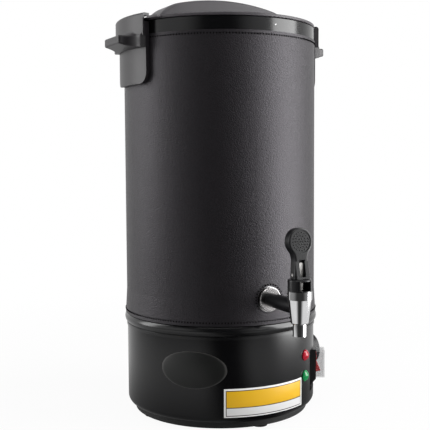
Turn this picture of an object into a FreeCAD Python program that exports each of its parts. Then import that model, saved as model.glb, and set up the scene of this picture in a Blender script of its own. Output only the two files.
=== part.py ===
import FreeCAD, Part
import math
import os
import Sketcher

# Wax melting urn: a stainless pot in a leather-wrapped wall, standing on a painted
# drum that holds the electrics, with a twist-lock lid and a lever tap at the front.
#
# Frame: +Z up, origin on the pot's axis at the level the feet stand on.
# The tap points to -Y and the two carrying handles lie on the X axis.
# A direction "phi" is an angle round the pot, from the tap towards +X.

SIZES = {
    # feet and bottom pan
    "foot_height": 3.5,
    "foot_radius": 9.0,
    "foot_ring_radius": 90.0,
    "foot_cup_radius": 4.4,
    "foot_web": 1.4,
    "screw_radius": 2.0,
    "screw_head": 3.7,
    "screw_head_height": 1.8,
    "screw_tail": 1.0,
    "screw_nut": 3.5,
    "screw_nut_height": 3.2,
    "pan_radius": 103.0,
    "pan_wall": 2.0,
    "pan_boss": 5.0,
    "pan_rim_bore": 96.0,
    "vent_ring_radius": 52.0,
    "vent_length": 26.0,
    "vent_width": 4.0,
    # painted drum round the electrics
    "drum_radius": 111.5,
    "drum_wall": 1.2,
    "drum_low": 10.5,
    "drum_corner": 7.5,
    "drum_flange_bore": 82.0,
    "drum_high": 103.0,
    "lip_height": 3.0,
    "lip_bulge": 0.9,
    "bead_root": 0.3,
    "bead_groove": 0.6,
    "bead_radius": 7.4,
    "drum_top": 118.0,
    "ring_skirt": 5.0,
    "ring_bore": 106.4,
    # pot, wall and leather
    "pot_radius": 100.0,
    "pot_wall": 1.0,
    "pot_drop": 20.2,
    "pot_corner": 8.0,
    "rim_width": 6.0,
    "sleeve_radius": 110.4,
    "sleeve_wall": 0.8,
    "sleeve_top": 436.0,
    "wool_radius": 107.0,
    "wool_gap": 1.0,
    "wool_top": 430.0,
    "leather": 1.5,
    "leather_flare": 1.7,
    "flare_height": 28.0,
    "collar_low": 433.5,
    "collar_top": 447.4,
    "collar_wall": 1.0,
    "collar_lap": 0.6,
    "collar_shelf": 440.0,
    "ledge_depth": 2.4,
    # lid
    "lid_radius": 111.5,
    "lid_gap": 1.0,
    "lid_edge": 3.3,
    "lid_round": 0.8,
    "lid_wall": 3.0,
    "plug_radius": 97.0,
    "plug_depth": 9.0,
    "bar_width": 40.0,
    "bar_height": 28.4,
    "bar_shoulder": 62.0,
    "bar_crown_radius": 270.0,
    "bar_end_radius": 38.0,
    "bar_round": 3.0,
    "lug_reach": 7.0,
    "lug_height": 2.2,
    "lug_lift": 0.6,
    "lug_angle": 7.3,
    "lug_start_angle": 20.7,
    # carrying handles
    "grip_angle": 19.2,
    "plate_out": 117.2,
    "plate_low": 380.0,
    "plate_corner": 12.0,
    "block_out": 121.4,
    "block_low": 431.0,
    "block_round": 3.0,
    "hook_top": 455.4,
    "hook_thick": 3.1,
    "slot_height": 6.1,
    "slot_out": 119.2,
    "slot_past_angle": 4.0,
    "slot_open_angle": 34.0,
    "grip_half": 38.0,
    "grip_length": 14.2,
    "grip_level": 432.5,
    "grip_tip": 22.0,
    "grip_root_low": 418.7,
    "grip_tip_low": 423.5,
    "grip_rake": 0.5,
    "grip_corner": 2.6,
    "flank_radius": 16.0,
    "root_round": 5.0,
    "edge_round": 2.0,
    "grip_screw_low": 392.0,
    "grip_screw_high": 424.0,
    "grip_screw_in": 3.6,
    # tap
    "tap_height": 145.2,
    "tap_reach": 170.5,
    "shank_radius": 6.0,
    "shank_bore": 4.4,
    "shank_inside": 88.0,
    "nut_flats": 20.0,
    "nut_thick": 5.0,
    "washer_radius": 11.0,
    "washer_thick": 2.0,
    "spacer_radius": 9.0,
    "ring_radius": 13.3,
    "ring_thick": 4.4,
    "leather_hole": 14.3,
    "cover_root": 7.5,
    "cover_tip": 8.5,
    "cup_rim_radius": 12.9,
    "cup_rim_height": 8.4,
    "cup_rise": 17.4,
    "cup_neck": 12.2,
    "cup_foot": 9.2,
    "cup_drop": 16.6,
    "cup_corner": 2.0,
    "nozzle_radius": 7.0,
    "nozzle_bore": 5.0,
    "nozzle_drop": 29.2,
    "chamber_radius": 7.8,
    "chamber_drop": 12.2,
    "bonnet_thread": 9.6,
    "bonnet_depth": 5.0,
    "bonnet_radius": 12.3,
    "bonnet_rise": 29.8,
    "bonnet_bore": 4.6,
    "bonnet_slot": 13.4,
    "bonnet_band": 1.6,
    "stem_radius": 2.4,
    "stem_block": 4.2,
    "stem_block_rise": 18.8,
    "stem_block_tall": 7.4,
    "stem_tongue": 5.0,
    "stem_tongue_depth": 5.6,
    "stem_tongue_rise": 12.5,
    "seat_radius": 7.0,
    "seat_drop": 3.2,
    "spring_radius": 5.4,
    "spring_wire": 0.6,
    "spring_pitch": 2.5,
    "pin_height": 4.3,
    "pin_radius": 1.5,
    "lever_thick": 10.0,
    "lever_lean": 4.2,
    "lever_neck": 14.8,
    "lever_foot": 17.6,
    "lever_throat": 14.0,
    "lever_heel": 7.0,
    "heel_rise": 14.0,
    "heel_gap": 0.7,
    "toe_wall": 1.5,
    "lever_slot": 5.6,
    "lever_round": 1.5,
    "head_radius": 14.2,
    "head_rise": 68.1,
    "pad_radius": 11.8,
    "pad_depth": 0.7,
    "window_width": 6.8,
    "window_drop": 2.3,
    "window_height": 17.6,
    "window_depth": 3.1,
    # lamps
    "lamp_phi": 31.3,
    "lamp_high": 73.2,
    "lamp_step": 23.8,
    "lens_radius": 6.4,
    "lens_rim": 0.8,
    "lens_dome": 7.6,
    "lens_stem": 4.6,
    "lens_depth": 6.5,
    "lamp_radius": 7.0,
    "lamp_depth": 26.0,
    # switch
    "switch_phi": 58.0,
    "flat_plane": 106.0,
    "flat_low": 27.0,
    "flat_top": 75.0,
    "flat_width": 80.0,
    "rocker_height": 53.0,
    "rocker_out": 3.0,
    "frame_low": 30.0,
    "frame_top": 71.2,
    "frame_width": 28.0,
    "frame_out": 8.2,
    "frame_slant": 6.0,
    "frame_slant_in": 5.2,
    "rocker_width": 14.0,
    "rocker_half": 11.0,
    "rocker_face": 8.7,
    "rocker_dip": 2.5,
    "rocker_tilt": 12.0,
    "pivot_radius": 1.2,
    "pivot_length": 1.6,
    "hood_low": 36.4,
    "hood_top": 69.3,
    "hood_width": 24.0,
    "hood_out": 10.5,
    "hood_wall": 1.2,
    "hood_corner": 3.0,
    "switch_width": 20.0,
    "switch_tall": 30.0,
    "switch_depth": 24.0,
    # thermostat and knob
    "knob_height": 54.0,
    "knob_radius": 19.0,
    "knob_face": 133.6,
    "knob_wall": 2.4,
    "knob_gap": 1.2,
    "knob_round": 2.0,
    "hub_radius": 6.0,
    "hub_start": 118.0,
    "spindle_radius": 3.0,
    "bush_radius": 5.0,
    "bush_end": 115.6,
    "bush_nut": 8.0,
    "bush_nut_thick": 2.4,
    "thermostat_radius": 19.0,
    "thermostat_depth": 22.0,
    "thermostat_gap": 2.0,
    # mains inlet
    "inlet_height": 50.0,
    "inlet_width": 50.0,
    "inlet_tall": 24.0,
    "inlet_flange": 2.6,
    "inlet_body_width": 28.0,
    "inlet_body_tall": 20.0,
    "inlet_depth": 24.0,
    "mouth_width": 24.0,
    "mouth_tall": 16.0,
    "mouth_depth": 17.0,
    "prong_width": 4.0,
    "prong_thick": 2.0,
    "prong_length": 11.0,
    "prong_step": 7.0,
    "inlet_screw_step": 20.0,
    "inlet_screw_radius": 1.5,
    "inlet_screw_head": 2.9,
    "inlet_screw_head_height": 1.6,
    # heater
    "hot_plate_radius": 84.0,
    "hot_plate_thick": 4.0,
    "element_ring_radius": 62.0,
    "element_radius": 4.0,
    "clamp_length": 150.0,
    "clamp_width": 16.0,
    "clamp_thick": 2.0,
    "stud_radius": 3.0,
    "stud_length": 19.0,
    "stud_nut": 6.0,
    "stud_nut_height": 4.0,
    "cutout_radius": 9.0,
    "cutout_height": 9.0,
    "cutout_x": 34.0,
    # clearances
    "bond": 0.1,
    "fit": 0.05,
    "running": 0.06,
    "moving": 0.3,
}


class Size:
    """A length or angle that carries its value and its expression in the sheet."""

    def __init__(self, value, text):
        self.value = float(value)
        self.text = text

    def __add__(self, other):
        other = as_size(other)
        return Size(self.value + other.value, f"({self.text} + {other.text})")

    def __radd__(self, other):
        return as_size(other) + self

    def __sub__(self, other):
        other = as_size(other)
        return Size(self.value - other.value, f"({self.text} - {other.text})")

    def __rsub__(self, other):
        return as_size(other) - self

    def __mul__(self, other):
        other = as_size(other)
        return Size(self.value * other.value, f"({self.text} * {other.text})")

    def __rmul__(self, other):
        return as_size(other) * self

    def __truediv__(self, other):
        other = as_size(other)
        return Size(self.value / other.value, f"({self.text} / {other.text})")

    def __neg__(self):
        return Size(-self.value, f"(0 - {self.text})")


def as_size(item):
    if isinstance(item, Size):
        return item
    return Size(item, repr(float(item)))


def root(size):
    return Size(math.sqrt(size.value), f"sqrt({size.text})")


def leg(radius, offset):
    """Distance along a radius at which a circle has the given sideways offset."""
    return root(radius * radius - offset * offset)


doc = FreeCAD.newDocument("WaxMelter")
sheet = doc.addObject("Spreadsheet::Sheet", "Sizes")


class Sheet:
    """The spreadsheet's cells by name."""

    def __init__(self, table):
        for row, (name, value) in enumerate(table.items(), start=1):
            sheet.set(f"A{row}", name)
            sheet.set(f"B{row}", repr(value))
            sheet.setAlias(f"B{row}", name)
            setattr(self, name, Size(value, f"Sizes.{name}"))


S = Sheet(SIZES)
doc.recompute()

# ---------------------------------------------------------------- levels that several pieces share
CUP_TOP = S.tap_height + S.cup_rise
CUP_LOW = S.tap_height - S.cup_drop
NOZZLE_LOW = S.tap_height - S.nozzle_drop
CHAMBER_LOW = S.tap_height - S.chamber_drop
BONNET_TOP = S.tap_height + S.bonnet_rise
STEM_BLOCK_LOW = S.tap_height + S.stem_block_rise
STEM_BLOCK_TOP = STEM_BLOCK_LOW + S.stem_block_tall
SEAT_TOP = S.tap_height - S.seat_drop
HEAD_LEVEL = S.tap_height + S.head_rise
POT_LOW = S.tap_height - S.pot_drop
GRIP_REACH = S.block_out + S.grip_length
STUD_LOW = POT_LOW - S.stud_length
WOOL_LOW = S.drum_top + S.ring_skirt + S.wool_gap
PAN_FLOOR = S.foot_height + S.pan_wall
DRUM_BORE = S.drum_radius - S.drum_wall
FLANGE_TOP = S.drum_low + S.drum_wall
JACKET_LOW = S.drum_top + S.bond
JACKET_BORE = S.sleeve_radius + S.fit
JACKET_OUT = JACKET_BORE + S.leather
JACKET_TOP = S.collar_low - S.bond
SLEEVE_BORE = S.sleeve_radius - S.sleeve_wall
LEDGE = S.collar_top - S.ledge_depth
POT_TOP = LEDGE + S.pot_wall
POT_BORE = S.pot_radius - S.pot_wall
POT_FLOOR = POT_LOW + S.pot_wall
COLLAR_OUT = S.sleeve_radius + S.collar_lap
LID_LOW = S.collar_top + S.lid_gap
LID_TOP = LID_LOW + S.lid_edge
GRIP_BACK = JACKET_OUT + S.bond
HOOK_LOW = S.hook_top - S.hook_thick
HEAT_PLATE_LOW = POT_LOW - S.hot_plate_thick
ELEMENT_LOW = HEAT_PLATE_LOW - S.element_radius * 2
CLAMP_LOW = ELEMENT_LOW - S.clamp_thick
PIN_LEVEL = BONNET_TOP + S.pin_height
RING_FACE = S.sleeve_radius + S.ring_thick
BONNET_FLOOR = CUP_TOP - S.bonnet_depth
FRAME_FACE = S.flat_plane + S.frame_out
ROCKER_AXIS = S.flat_plane + S.rocker_out
KNOB_BACK = S.drum_radius + S.knob_gap


# ---------------------------------------------------------------- modelling helpers
def new_body(label):
    body = doc.addObject("PartDesign::Body", label)
    body.Label = label
    body.AllowCompound = True
    return body


def origin_item(body, role):
    for item in body.Origin.OriginFeatures:
        if item.Role == role:
            return item
    raise ValueError(role)


def bind(item, name, size, unit=""):
    """Ties a property to the sheet when its size comes from there."""
    if "Sizes." in size.text:
        item.setExpression(name, size.text + unit)


def new_sketch(body, plane, height=0.0, turn=0.0):
    """A sketch on one of the body's planes, moved along its normal and turned about
    the body's Z axis."""
    sketch = body.newObject("Sketcher::SketchObject", "Sketch")
    sketch.AttachmentSupport = [(origin_item(body, plane + "_Plane"), "")]
    sketch.MapMode = "FlatFace"
    height = as_size(height)
    turn = as_size(turn)
    spin_axis = FreeCAD.Vector(0, 0, 1) if plane == "XY" else FreeCAD.Vector(0, 1, 0)
    rotation = FreeCAD.Rotation(spin_axis, turn.value)
    base = rotation.multVec(FreeCAD.Vector(0, 0, height.value))
    sketch.AttachmentOffset = FreeCAD.Placement(base, rotation)
    if turn.value == 0.0:
        bind(sketch, "AttachmentOffset.Base.z", height, " * 1 mm")
    elif height.value == 0.0:
        bind(sketch, "AttachmentOffset.Rotation.Angle", turn, " * 1 deg")
    return sketch


def pin_point(sketch, geometry, position, x, y):
    for kind, size, axis in (("DistanceX", x, -2), ("DistanceY", y, -1)):
        if size.value == 0.0:
            sketch.addConstraint(Sketcher.Constraint("PointOnObject", geometry, position, axis))
        else:
            place = sketch.addConstraint(
                Sketcher.Constraint(kind, -1, 1, geometry, position, size.value))
            bind(sketch, f"Constraints[{place}]", size)


def pin_radius(sketch, geometry, radius):
    place = sketch.addConstraint(Sketcher.Constraint("Radius", geometry, radius.value))
    bind(sketch, f"Constraints[{place}]", radius)


def arc_between(start, end, radius, side):
    """The short arc from start to end, its centre on the left (+1) or the right (-1)."""
    dx = end[0] - start[0]
    dy = end[1] - start[1]
    chord = math.hypot(dx, dy)
    rise = math.sqrt(max(radius * radius - chord * chord / 4, 0.0))
    cx = (start[0] + end[0]) / 2 - side * rise * dy / chord
    cy = (start[1] + end[1]) / 2 + side * rise * dx / chord
    first = math.atan2(start[1] - cy, start[0] - cx)
    last = math.atan2(end[1] - cy, end[0] - cx)
    circle = Part.Circle(FreeCAD.Vector(cx, cy, 0), FreeCAD.Vector(0, 0, 1), radius)
    if side > 0:
        return Part.ArcOfCircle(circle, first, last)
    return Part.ArcOfCircle(circle, last, first)


def draw(sketch, points):
    """Draws a closed chain of lines and arcs. A point is (x, y), or (x, y, radius, side)
    where an arc leads to it. Every point and radius is bound to the sheet."""
    chain = [[as_size(item) for item in point[:3]] + list(point[3:]) for point in points]
    edges = []
    for here in range(len(chain)):
        point = chain[here]
        start_xy = [item.value for item in chain[here - 1][:2]]
        end_xy = [item.value for item in point[:2]]
        if len(point) == 4:
            curve = arc_between(start_xy, end_xy, point[2].value, point[3])
            ends = (1, 2) if point[3] > 0 else (2, 1)
        else:
            curve = Part.LineSegment(FreeCAD.Vector(*start_xy, 0), FreeCAD.Vector(*end_xy, 0))
            ends = (1, 2)
        edges.append((sketch.addGeometry(curve, False), ends))
    for here in range(len(chain)):
        before, ends_before = edges[here - 1]
        after, ends_after = edges[here]
        sketch.addConstraint(
            Sketcher.Constraint("Coincident", before, ends_before[1], after, ends_after[0]))
    for point, (index, ends) in zip(chain, edges):
        pin_point(sketch, index, ends[1], point[0], point[1])
        if len(point) == 4:
            pin_radius(sketch, index, point[2])
    return sketch


def draw_circle(sketch, x, y, radius):
    x, y, radius = as_size(x), as_size(y), as_size(radius)
    centre = FreeCAD.Vector(x.value, y.value, 0)
    circle = Part.Circle(centre, FreeCAD.Vector(0, 0, 1), radius.value)
    index = sketch.addGeometry(circle, False)
    pin_point(sketch, index, 3, x, y)
    pin_radius(sketch, index, radius)
    return sketch


def box(x_low, x_high, y_low, y_high):
    return [(x_low, y_low), (x_high, y_low), (x_high, y_high), (x_low, y_high)]


def round_box(half_x, y_low, y_high, corner):
    """A rectangle centred on x = 0 with round corners."""
    side = half_x - corner
    return [
        (side, y_low), (half_x, y_low + corner, corner, 1),
        (half_x, y_high - corner), (side, y_high, corner, 1),
        (-side, y_high), (-half_x, y_high - corner, corner, 1),
        (-half_x, y_low + corner), (-side, y_low, corner, 1),
    ]


def hexagon(flats):
    half = flats / 2
    point = flats / math.sqrt(3.0)
    return [(point, 0), (point / 2, half), (-point / 2, half),
            (-point, 0), (-point / 2, -half), (point / 2, -half)]


def spin(body, sketch, axis="V_Axis", cut=False, angle=360.0):
    """Turns a sketch about its own axis, evenly to both sides where less than a full turn."""
    kind = "PartDesign::Groove" if cut else "PartDesign::Revolution"
    feature = body.newObject(kind, "Spin")
    feature.Profile = sketch
    feature.ReferenceAxis = (sketch, [axis])
    angle = as_size(angle)
    feature.Angle = angle.value
    feature.Midplane = angle.value < 360.0
    bind(feature, "Angle", angle)
    return feature


def push(body, sketch, length, cut=False, back=False, middle=False):
    """A pad, or where cut is set a pocket, which goes against the sketch's normal."""
    feature = body.newObject("PartDesign::Pocket" if cut else "PartDesign::Pad", "Push")
    feature.Profile = sketch
    length = as_size(length)
    feature.Length = length.value
    feature.Reversed = back
    feature.Midplane = middle
    bind(feature, "Length", length)
    return feature


def lathe(body, points, cut=False):
    """A full turn about local Z of an outline given as radius and height."""
    return spin(body, draw(new_sketch(body, "XZ"), points), cut=cut)


def lathe_out(body, points, cut=False):
    """A full turn about local X of an outline given as distance out and radius."""
    return spin(body, draw(new_sketch(body, "XZ"), points), axis="H_Axis", cut=cut)


def pad_out(body, points, near, far):
    """A pad along local X of an outline given as local Y and Z."""
    return push(body, draw(new_sketch(body, "YZ", near), points), as_size(far) - near)


def cut_out(body, points, near, far):
    sketch = draw(new_sketch(body, "YZ", near), points)
    return push(body, sketch, as_size(far) - near, cut=True, back=True)


def drill(body, phi, height, radius):
    """A round hole from the pot's axis outwards, at a direction and height."""
    sketch = draw_circle(new_sketch(body, "YZ", 0.0, as_size(phi) - 90), 0, height, radius)
    return push(body, sketch, GRIP_REACH, cut=True, back=True)


def repeat(body, feature, count, axis="Z_Axis"):
    pattern = body.newObject("PartDesign::PolarPattern", "Repeat")
    pattern.Originals = [feature]
    pattern.Axis = (origin_item(body, axis), [""])
    pattern.Angle = 360.0
    pattern.Occurrences = count
    body.Tip = pattern
    return pattern


def round_edges(body, radius, chosen):
    """Rounds the edges of the body so far whose middle point passes the test."""
    doc.recompute()
    base = body.Tip
    names = []
    for number, edge in enumerate(base.Shape.Edges, start=1):
        middle = edge.valueAt((edge.FirstParameter + edge.LastParameter) / 2)
        if chosen(middle):
            names.append(f"Edge{number}")
    feature = body.newObject("PartDesign::Fillet", "Round")
    feature.Base = (base, names)
    feature.Radius = radius.value
    bind(feature, "Radius", radius)
    body.Tip = feature
    return feature


def stand(item, phi, height=0.0):
    """Turns a piece built along local X so that it faces phi, and lifts it."""
    phi, height = as_size(phi), as_size(height)
    rotation = FreeCAD.Rotation(FreeCAD.Vector(0, 0, 1), phi.value - 90)
    item.Placement = FreeCAD.Placement(FreeCAD.Vector(0, 0, height.value), rotation)
    bind(item, "Placement.Base.z", height, " * 1 mm")
    if "Sizes." in phi.text:
        item.setExpression("Placement.Rotation.Angle", f"({phi.text} - 90) * 1 deg")
    return item


def at_tap(item):
    item.Placement = FreeCAD.Placement(
        FreeCAD.Vector(0, -S.tap_reach.value, 0), FreeCAD.Rotation())
    item.setExpression("Placement.Base.y", f"(0 - {S.tap_reach.text}) * 1 mm")
    return item


def cut(label, base, tool):
    feature = doc.addObject("Part::Cut", label)
    feature.Label = label
    feature.Base = base
    feature.Tool = tool
    return feature


def pot_form(name, radius):
    """A cylinder on the pot's axis to cut pieces to the curve they lie against."""
    cylinder = doc.addObject("Part::Cylinder", name)
    cylinder.Height = S.collar_top.value
    cylinder.Radius = radius.value
    bind(cylinder, "Height", S.collar_top)
    bind(cylinder, "Radius", radius)
    return cylinder


parts = []


def finish(item):
    parts.append(item)
    return item


# ---------------------------------------------------------------- feet and bottom pan
# Four rubber feet under a plastic pan, each held by a screw with a nut on the drum's flange.
feet = new_body("feet")
foot_sketch = draw_circle(new_sketch(feet, "XY"), S.foot_ring_radius, 0, S.foot_radius)
draw_circle(foot_sketch, S.foot_ring_radius, 0, S.screw_radius + S.fit)
foot_pad = push(feet, foot_sketch, S.foot_height)
repeat(feet, foot_pad, 4)
foot_cup = draw_circle(new_sketch(feet, "XY"), S.foot_ring_radius, 0, S.foot_cup_radius)
foot_cup_cut = push(feet, foot_cup, S.foot_height - S.foot_web, cut=True, back=True)
repeat(feet, foot_cup_cut, 4)
finish(feet)

foot_screws = new_body("foot_screws")
HEAD_TOP = S.foot_height - S.foot_web
NUT_TOP = FLANGE_TOP + S.screw_nut_height
head_sketch = draw_circle(
    new_sketch(foot_screws, "XY", HEAD_TOP - S.screw_head_height), S.foot_ring_radius, 0, S.screw_head)
repeat(foot_screws, push(foot_screws, head_sketch, S.screw_head_height), 4)
shank_sketch = draw_circle(
    new_sketch(foot_screws, "XY", HEAD_TOP - S.screw_head_height), S.foot_ring_radius, 0, S.screw_radius)
screw_length = NUT_TOP + S.screw_tail - HEAD_TOP + S.screw_head_height
repeat(foot_screws, push(foot_screws, shank_sketch, screw_length), 4)
finish(foot_screws)

foot_nuts = new_body("foot_nuts")
nut_sketch = new_sketch(foot_nuts, "XY", FLANGE_TOP)
nut_points = hexagon(S.screw_nut * 2)
draw(nut_sketch, [(S.foot_ring_radius + x, y) for x, y in nut_points])
draw_circle(nut_sketch, S.foot_ring_radius, 0, S.screw_radius + S.fit)
repeat(foot_nuts, push(foot_nuts, nut_sketch, S.screw_nut_height), 4)
finish(foot_nuts)

base_pan = new_body("base_pan")
lathe(base_pan, [
    (0, S.foot_height), (S.pan_radius, S.foot_height), (S.pan_radius, S.drum_low),
    (S.pan_rim_bore, S.drum_low), (S.pan_rim_bore, PAN_FLOOR), (0, PAN_FLOOR),
])
boss_sketch = draw_circle(new_sketch(base_pan, "XY", S.foot_height), S.foot_ring_radius, 0, S.pan_boss)
repeat(base_pan, push(base_pan, boss_sketch, S.drum_low - S.foot_height), 4)
boss_hole = draw_circle(
    new_sketch(base_pan, "XY"), S.foot_ring_radius, 0, S.screw_radius + S.fit)
repeat(base_pan, push(base_pan, boss_hole, S.drum_low + S.bond, cut=True, back=True), 4)
vent_near = S.vent_ring_radius - S.vent_length / 2
vent_far = S.vent_ring_radius + S.vent_length / 2
vent_side = S.vent_width / 2
vent_sketch = draw(new_sketch(base_pan, "XY"), [
    (vent_near, -vent_side), (vent_far, -vent_side),
    (vent_far, vent_side), (vent_near, vent_side),
])
repeat(base_pan, push(base_pan, vent_sketch, S.drum_low, cut=True, back=True), 24)
finish(base_pan)

# ---------------------------------------------------------------- painted drum
# A pressed shell with flats for the switch and the mains inlet and a flange turned inwards.


def drum_form(label, inset):
    """The drum's outside, or its inside where inset by the wall."""
    body = new_body(label)
    low = S.drum_low + inset
    out = S.drum_radius - inset
    corner = S.drum_corner - inset
    top = S.drum_high + inset * 2
    lathe(body, [
        (0, low), (out - corner, low), (out, low + corner, corner, 1), (out, top), (0, top),
    ])
    for phi in (S.switch_phi, as_size(180.0)):
        flat = new_sketch(body, "YZ", S.flat_plane - inset, phi - 90)
        draw(flat, box(-S.flat_width / 2, S.flat_width / 2,
                       S.flat_low - inset, S.flat_top + inset))
        push(body, flat, S.drum_low, cut=True, back=True)
    return body


no_wall = as_size(0.0)
drum_outside = drum_form("drum_outside", no_wall)
drum_inside = drum_form("drum_inside", S.drum_wall)
drum_shell = cut("drum_shell", drum_outside, drum_inside)

# Everything that goes through the drum's wall or floor.
drum_holes = new_body("drum_holes")
floor_hole = draw_circle(new_sketch(drum_holes, "XY"), 0, 0, S.drum_flange_bore)
push(drum_holes, floor_hole, FLANGE_TOP + S.bond)
screw_hole = draw_circle(
    new_sketch(drum_holes, "XY"), S.foot_ring_radius, 0, S.screw_radius + S.fit)
repeat(drum_holes, push(drum_holes, screw_hole, FLANGE_TOP + S.bond), 4)


def radial_pin(body, phi, height, radius):
    sketch = draw_circle(new_sketch(body, "YZ", S.drum_radius / 2, as_size(phi) - 90), 0, height, radius)
    return push(body, sketch, S.drum_radius / 2)


def radial_block(body, phi, height, half_width, half_height):
    sketch = new_sketch(body, "YZ", S.drum_radius / 2, as_size(phi) - 90)
    draw(sketch, box(-half_width, half_width, height - half_height, height + half_height))
    return push(body, sketch, S.drum_radius / 2)


LAMP_HEIGHTS = (S.lamp_high, S.lamp_high - S.lamp_step)
for height in LAMP_HEIGHTS:
    radial_pin(drum_holes, S.lamp_phi, height, S.lens_stem + S.fit)
radial_pin(drum_holes, 90.0, S.knob_height, S.bush_radius + S.fit)
radial_block(drum_holes, S.switch_phi, S.rocker_height,
             S.switch_width / 2 + S.fit, S.switch_tall / 2 + S.fit)
radial_block(drum_holes, 180.0, S.inlet_height,
             S.inlet_body_width / 2 + S.fit, S.inlet_body_tall / 2 + S.fit)
for side in (-1, 1):
    hole = draw_circle(new_sketch(drum_holes, "YZ", S.drum_radius / 2, 90.0),
                       S.inlet_screw_step * side, S.inlet_height, S.inlet_screw_radius + S.fit)
    push(drum_holes, hole, S.drum_radius / 2)
finish(cut("base_drum", drum_shell, drum_holes))

# ---------------------------------------------------------------- shoulder ring
# Closes the drum, with a bead outside and a shelf that carries the double wall.
shoulder_ring = new_body("shoulder_ring")
LIP_OUT = S.drum_radius + S.lip_bulge
LIP_TOP = S.drum_high + S.lip_height
GROOVE_TOP = LIP_TOP + S.bead_groove
BEAD_ROOT = S.drum_radius + S.bead_root
lathe(shoulder_ring, [
    (S.ring_bore, S.drum_high - S.ring_skirt), (DRUM_BORE - S.fit, S.drum_high - S.ring_skirt),
    (DRUM_BORE - S.fit, S.drum_high), (LIP_OUT, S.drum_high), (LIP_OUT, LIP_TOP),
    (BEAD_ROOT, LIP_TOP), (BEAD_ROOT, GROOVE_TOP),
    (BEAD_ROOT, S.drum_top, S.bead_radius, 1),
    (SLEEVE_BORE - S.fit, S.drum_top), (SLEEVE_BORE - S.fit, S.drum_top + S.ring_skirt),
    (S.ring_bore, S.drum_top + S.ring_skirt),
])
finish(shoulder_ring)

# ---------------------------------------------------------------- wall, pot and leather
outer_sleeve = new_body("outer_sleeve")
lathe(outer_sleeve, [
    (SLEEVE_BORE, S.drum_top), (S.sleeve_radius, S.drum_top),
    (S.sleeve_radius, S.sleeve_top), (SLEEVE_BORE, S.sleeve_top),
])
wool = new_body("insulation")
lathe(wool, [
    (S.pot_radius + S.fit, WOOL_LOW), (S.wool_radius, WOOL_LOW),
    (S.wool_radius, S.wool_top), (S.pot_radius + S.fit, S.wool_top),
])
jacket = new_body("leather_jacket")
FLARE_OUT = JACKET_OUT + S.leather_flare
lathe(jacket, [
    (JACKET_BORE, JACKET_LOW), (FLARE_OUT, JACKET_LOW),
    (JACKET_OUT, JACKET_LOW + S.flare_height), (JACKET_OUT, JACKET_TOP),
    (JACKET_BORE, JACKET_TOP),
])
for body in (outer_sleeve, jacket):
    for phi in (90.0, 270.0):
        for height in (S.grip_screw_low, S.grip_screw_high):
            drill(body, phi, height, S.screw_radius + S.fit)
drill(outer_sleeve, 0.0, S.tap_height, S.shank_radius + S.fit)
drill(wool, 0.0, S.tap_height, S.spacer_radius + S.moving)
drill(jacket, 0.0, S.tap_height, S.leather_hole)
finish(outer_sleeve)
finish(wool)
finish(jacket)

inner_pot = new_body("inner_pot")
POT_SIDE = S.pot_radius - S.pot_corner
BORE_CORNER = S.pot_corner - S.pot_wall
lathe(inner_pot, [
    (0, POT_LOW), (POT_SIDE, POT_LOW),
    (S.pot_radius, POT_LOW + S.pot_corner, S.pot_corner, 1), (S.pot_radius, LEDGE),
    (S.pot_radius + S.rim_width, LEDGE), (S.pot_radius + S.rim_width, POT_TOP),
    (POT_BORE, POT_TOP), (POT_BORE, POT_LOW + S.pot_corner),
    (POT_SIDE, POT_FLOOR, BORE_CORNER, -1), (0, POT_FLOOR),
])
drill(inner_pot, 0.0, S.tap_height, S.shank_radius + S.fit)
finish(inner_pot)

rim_collar = new_body("rim_collar")
COLLAR_BORE = SLEEVE_BORE - S.collar_wall
COLLAR_STEP = S.pot_radius + S.rim_width + S.bond * 4
lathe(rim_collar, [
    (S.sleeve_radius + S.fit, S.collar_low), (COLLAR_OUT, S.collar_low),
    (COLLAR_OUT, S.collar_top), (COLLAR_STEP, S.collar_top), (COLLAR_STEP, LEDGE),
    (S.pot_radius + S.rim_width / 6, LEDGE), (S.pot_radius + S.rim_width / 6, S.collar_shelf),
    (COLLAR_BORE, S.collar_shelf), (COLLAR_BORE, S.collar_low),
    (SLEEVE_BORE - S.fit, S.collar_low), (SLEEVE_BORE - S.fit, S.sleeve_top + S.fit),
    (S.sleeve_radius + S.fit, S.sleeve_top + S.fit),
])
finish(rim_collar)

# ---------------------------------------------------------------- lid
lid_seal = new_body("lid_seal")
lathe(lid_seal, [
    (S.plug_radius + S.moving, POT_TOP + S.moving),
    (S.pot_radius + S.rim_width, POT_TOP + S.moving),
    (S.pot_radius + S.rim_width, LID_LOW - S.running),
    (S.plug_radius + S.moving, LID_LOW - S.running),
])
finish(lid_seal)

lid = new_body("lid")


def bar_outline(inset, low):
    """The crowned bar across the lid, or its hollow where inset by the wall."""
    crown = S.bar_crown_radius - inset
    crown_z = LID_TOP + S.bar_height - S.bar_crown_radius
    drop = leg(S.bar_crown_radius, S.bar_shoulder)
    reach_x = S.bar_shoulder * crown / S.bar_crown_radius
    reach_z = crown_z + drop * crown / S.bar_crown_radius
    share = (S.bar_crown_radius - S.bar_end_radius) / S.bar_crown_radius
    end_x = S.bar_shoulder * share
    end_z = crown_z + drop * share
    end = S.bar_end_radius - inset
    foot_x = end_x + leg(end, end_z - low)
    return [
        (foot_x, low), (reach_x, reach_z, end, 1),
        (-reach_x, reach_z, crown, 1), (-foot_x, low, end, 1),
    ]


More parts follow.
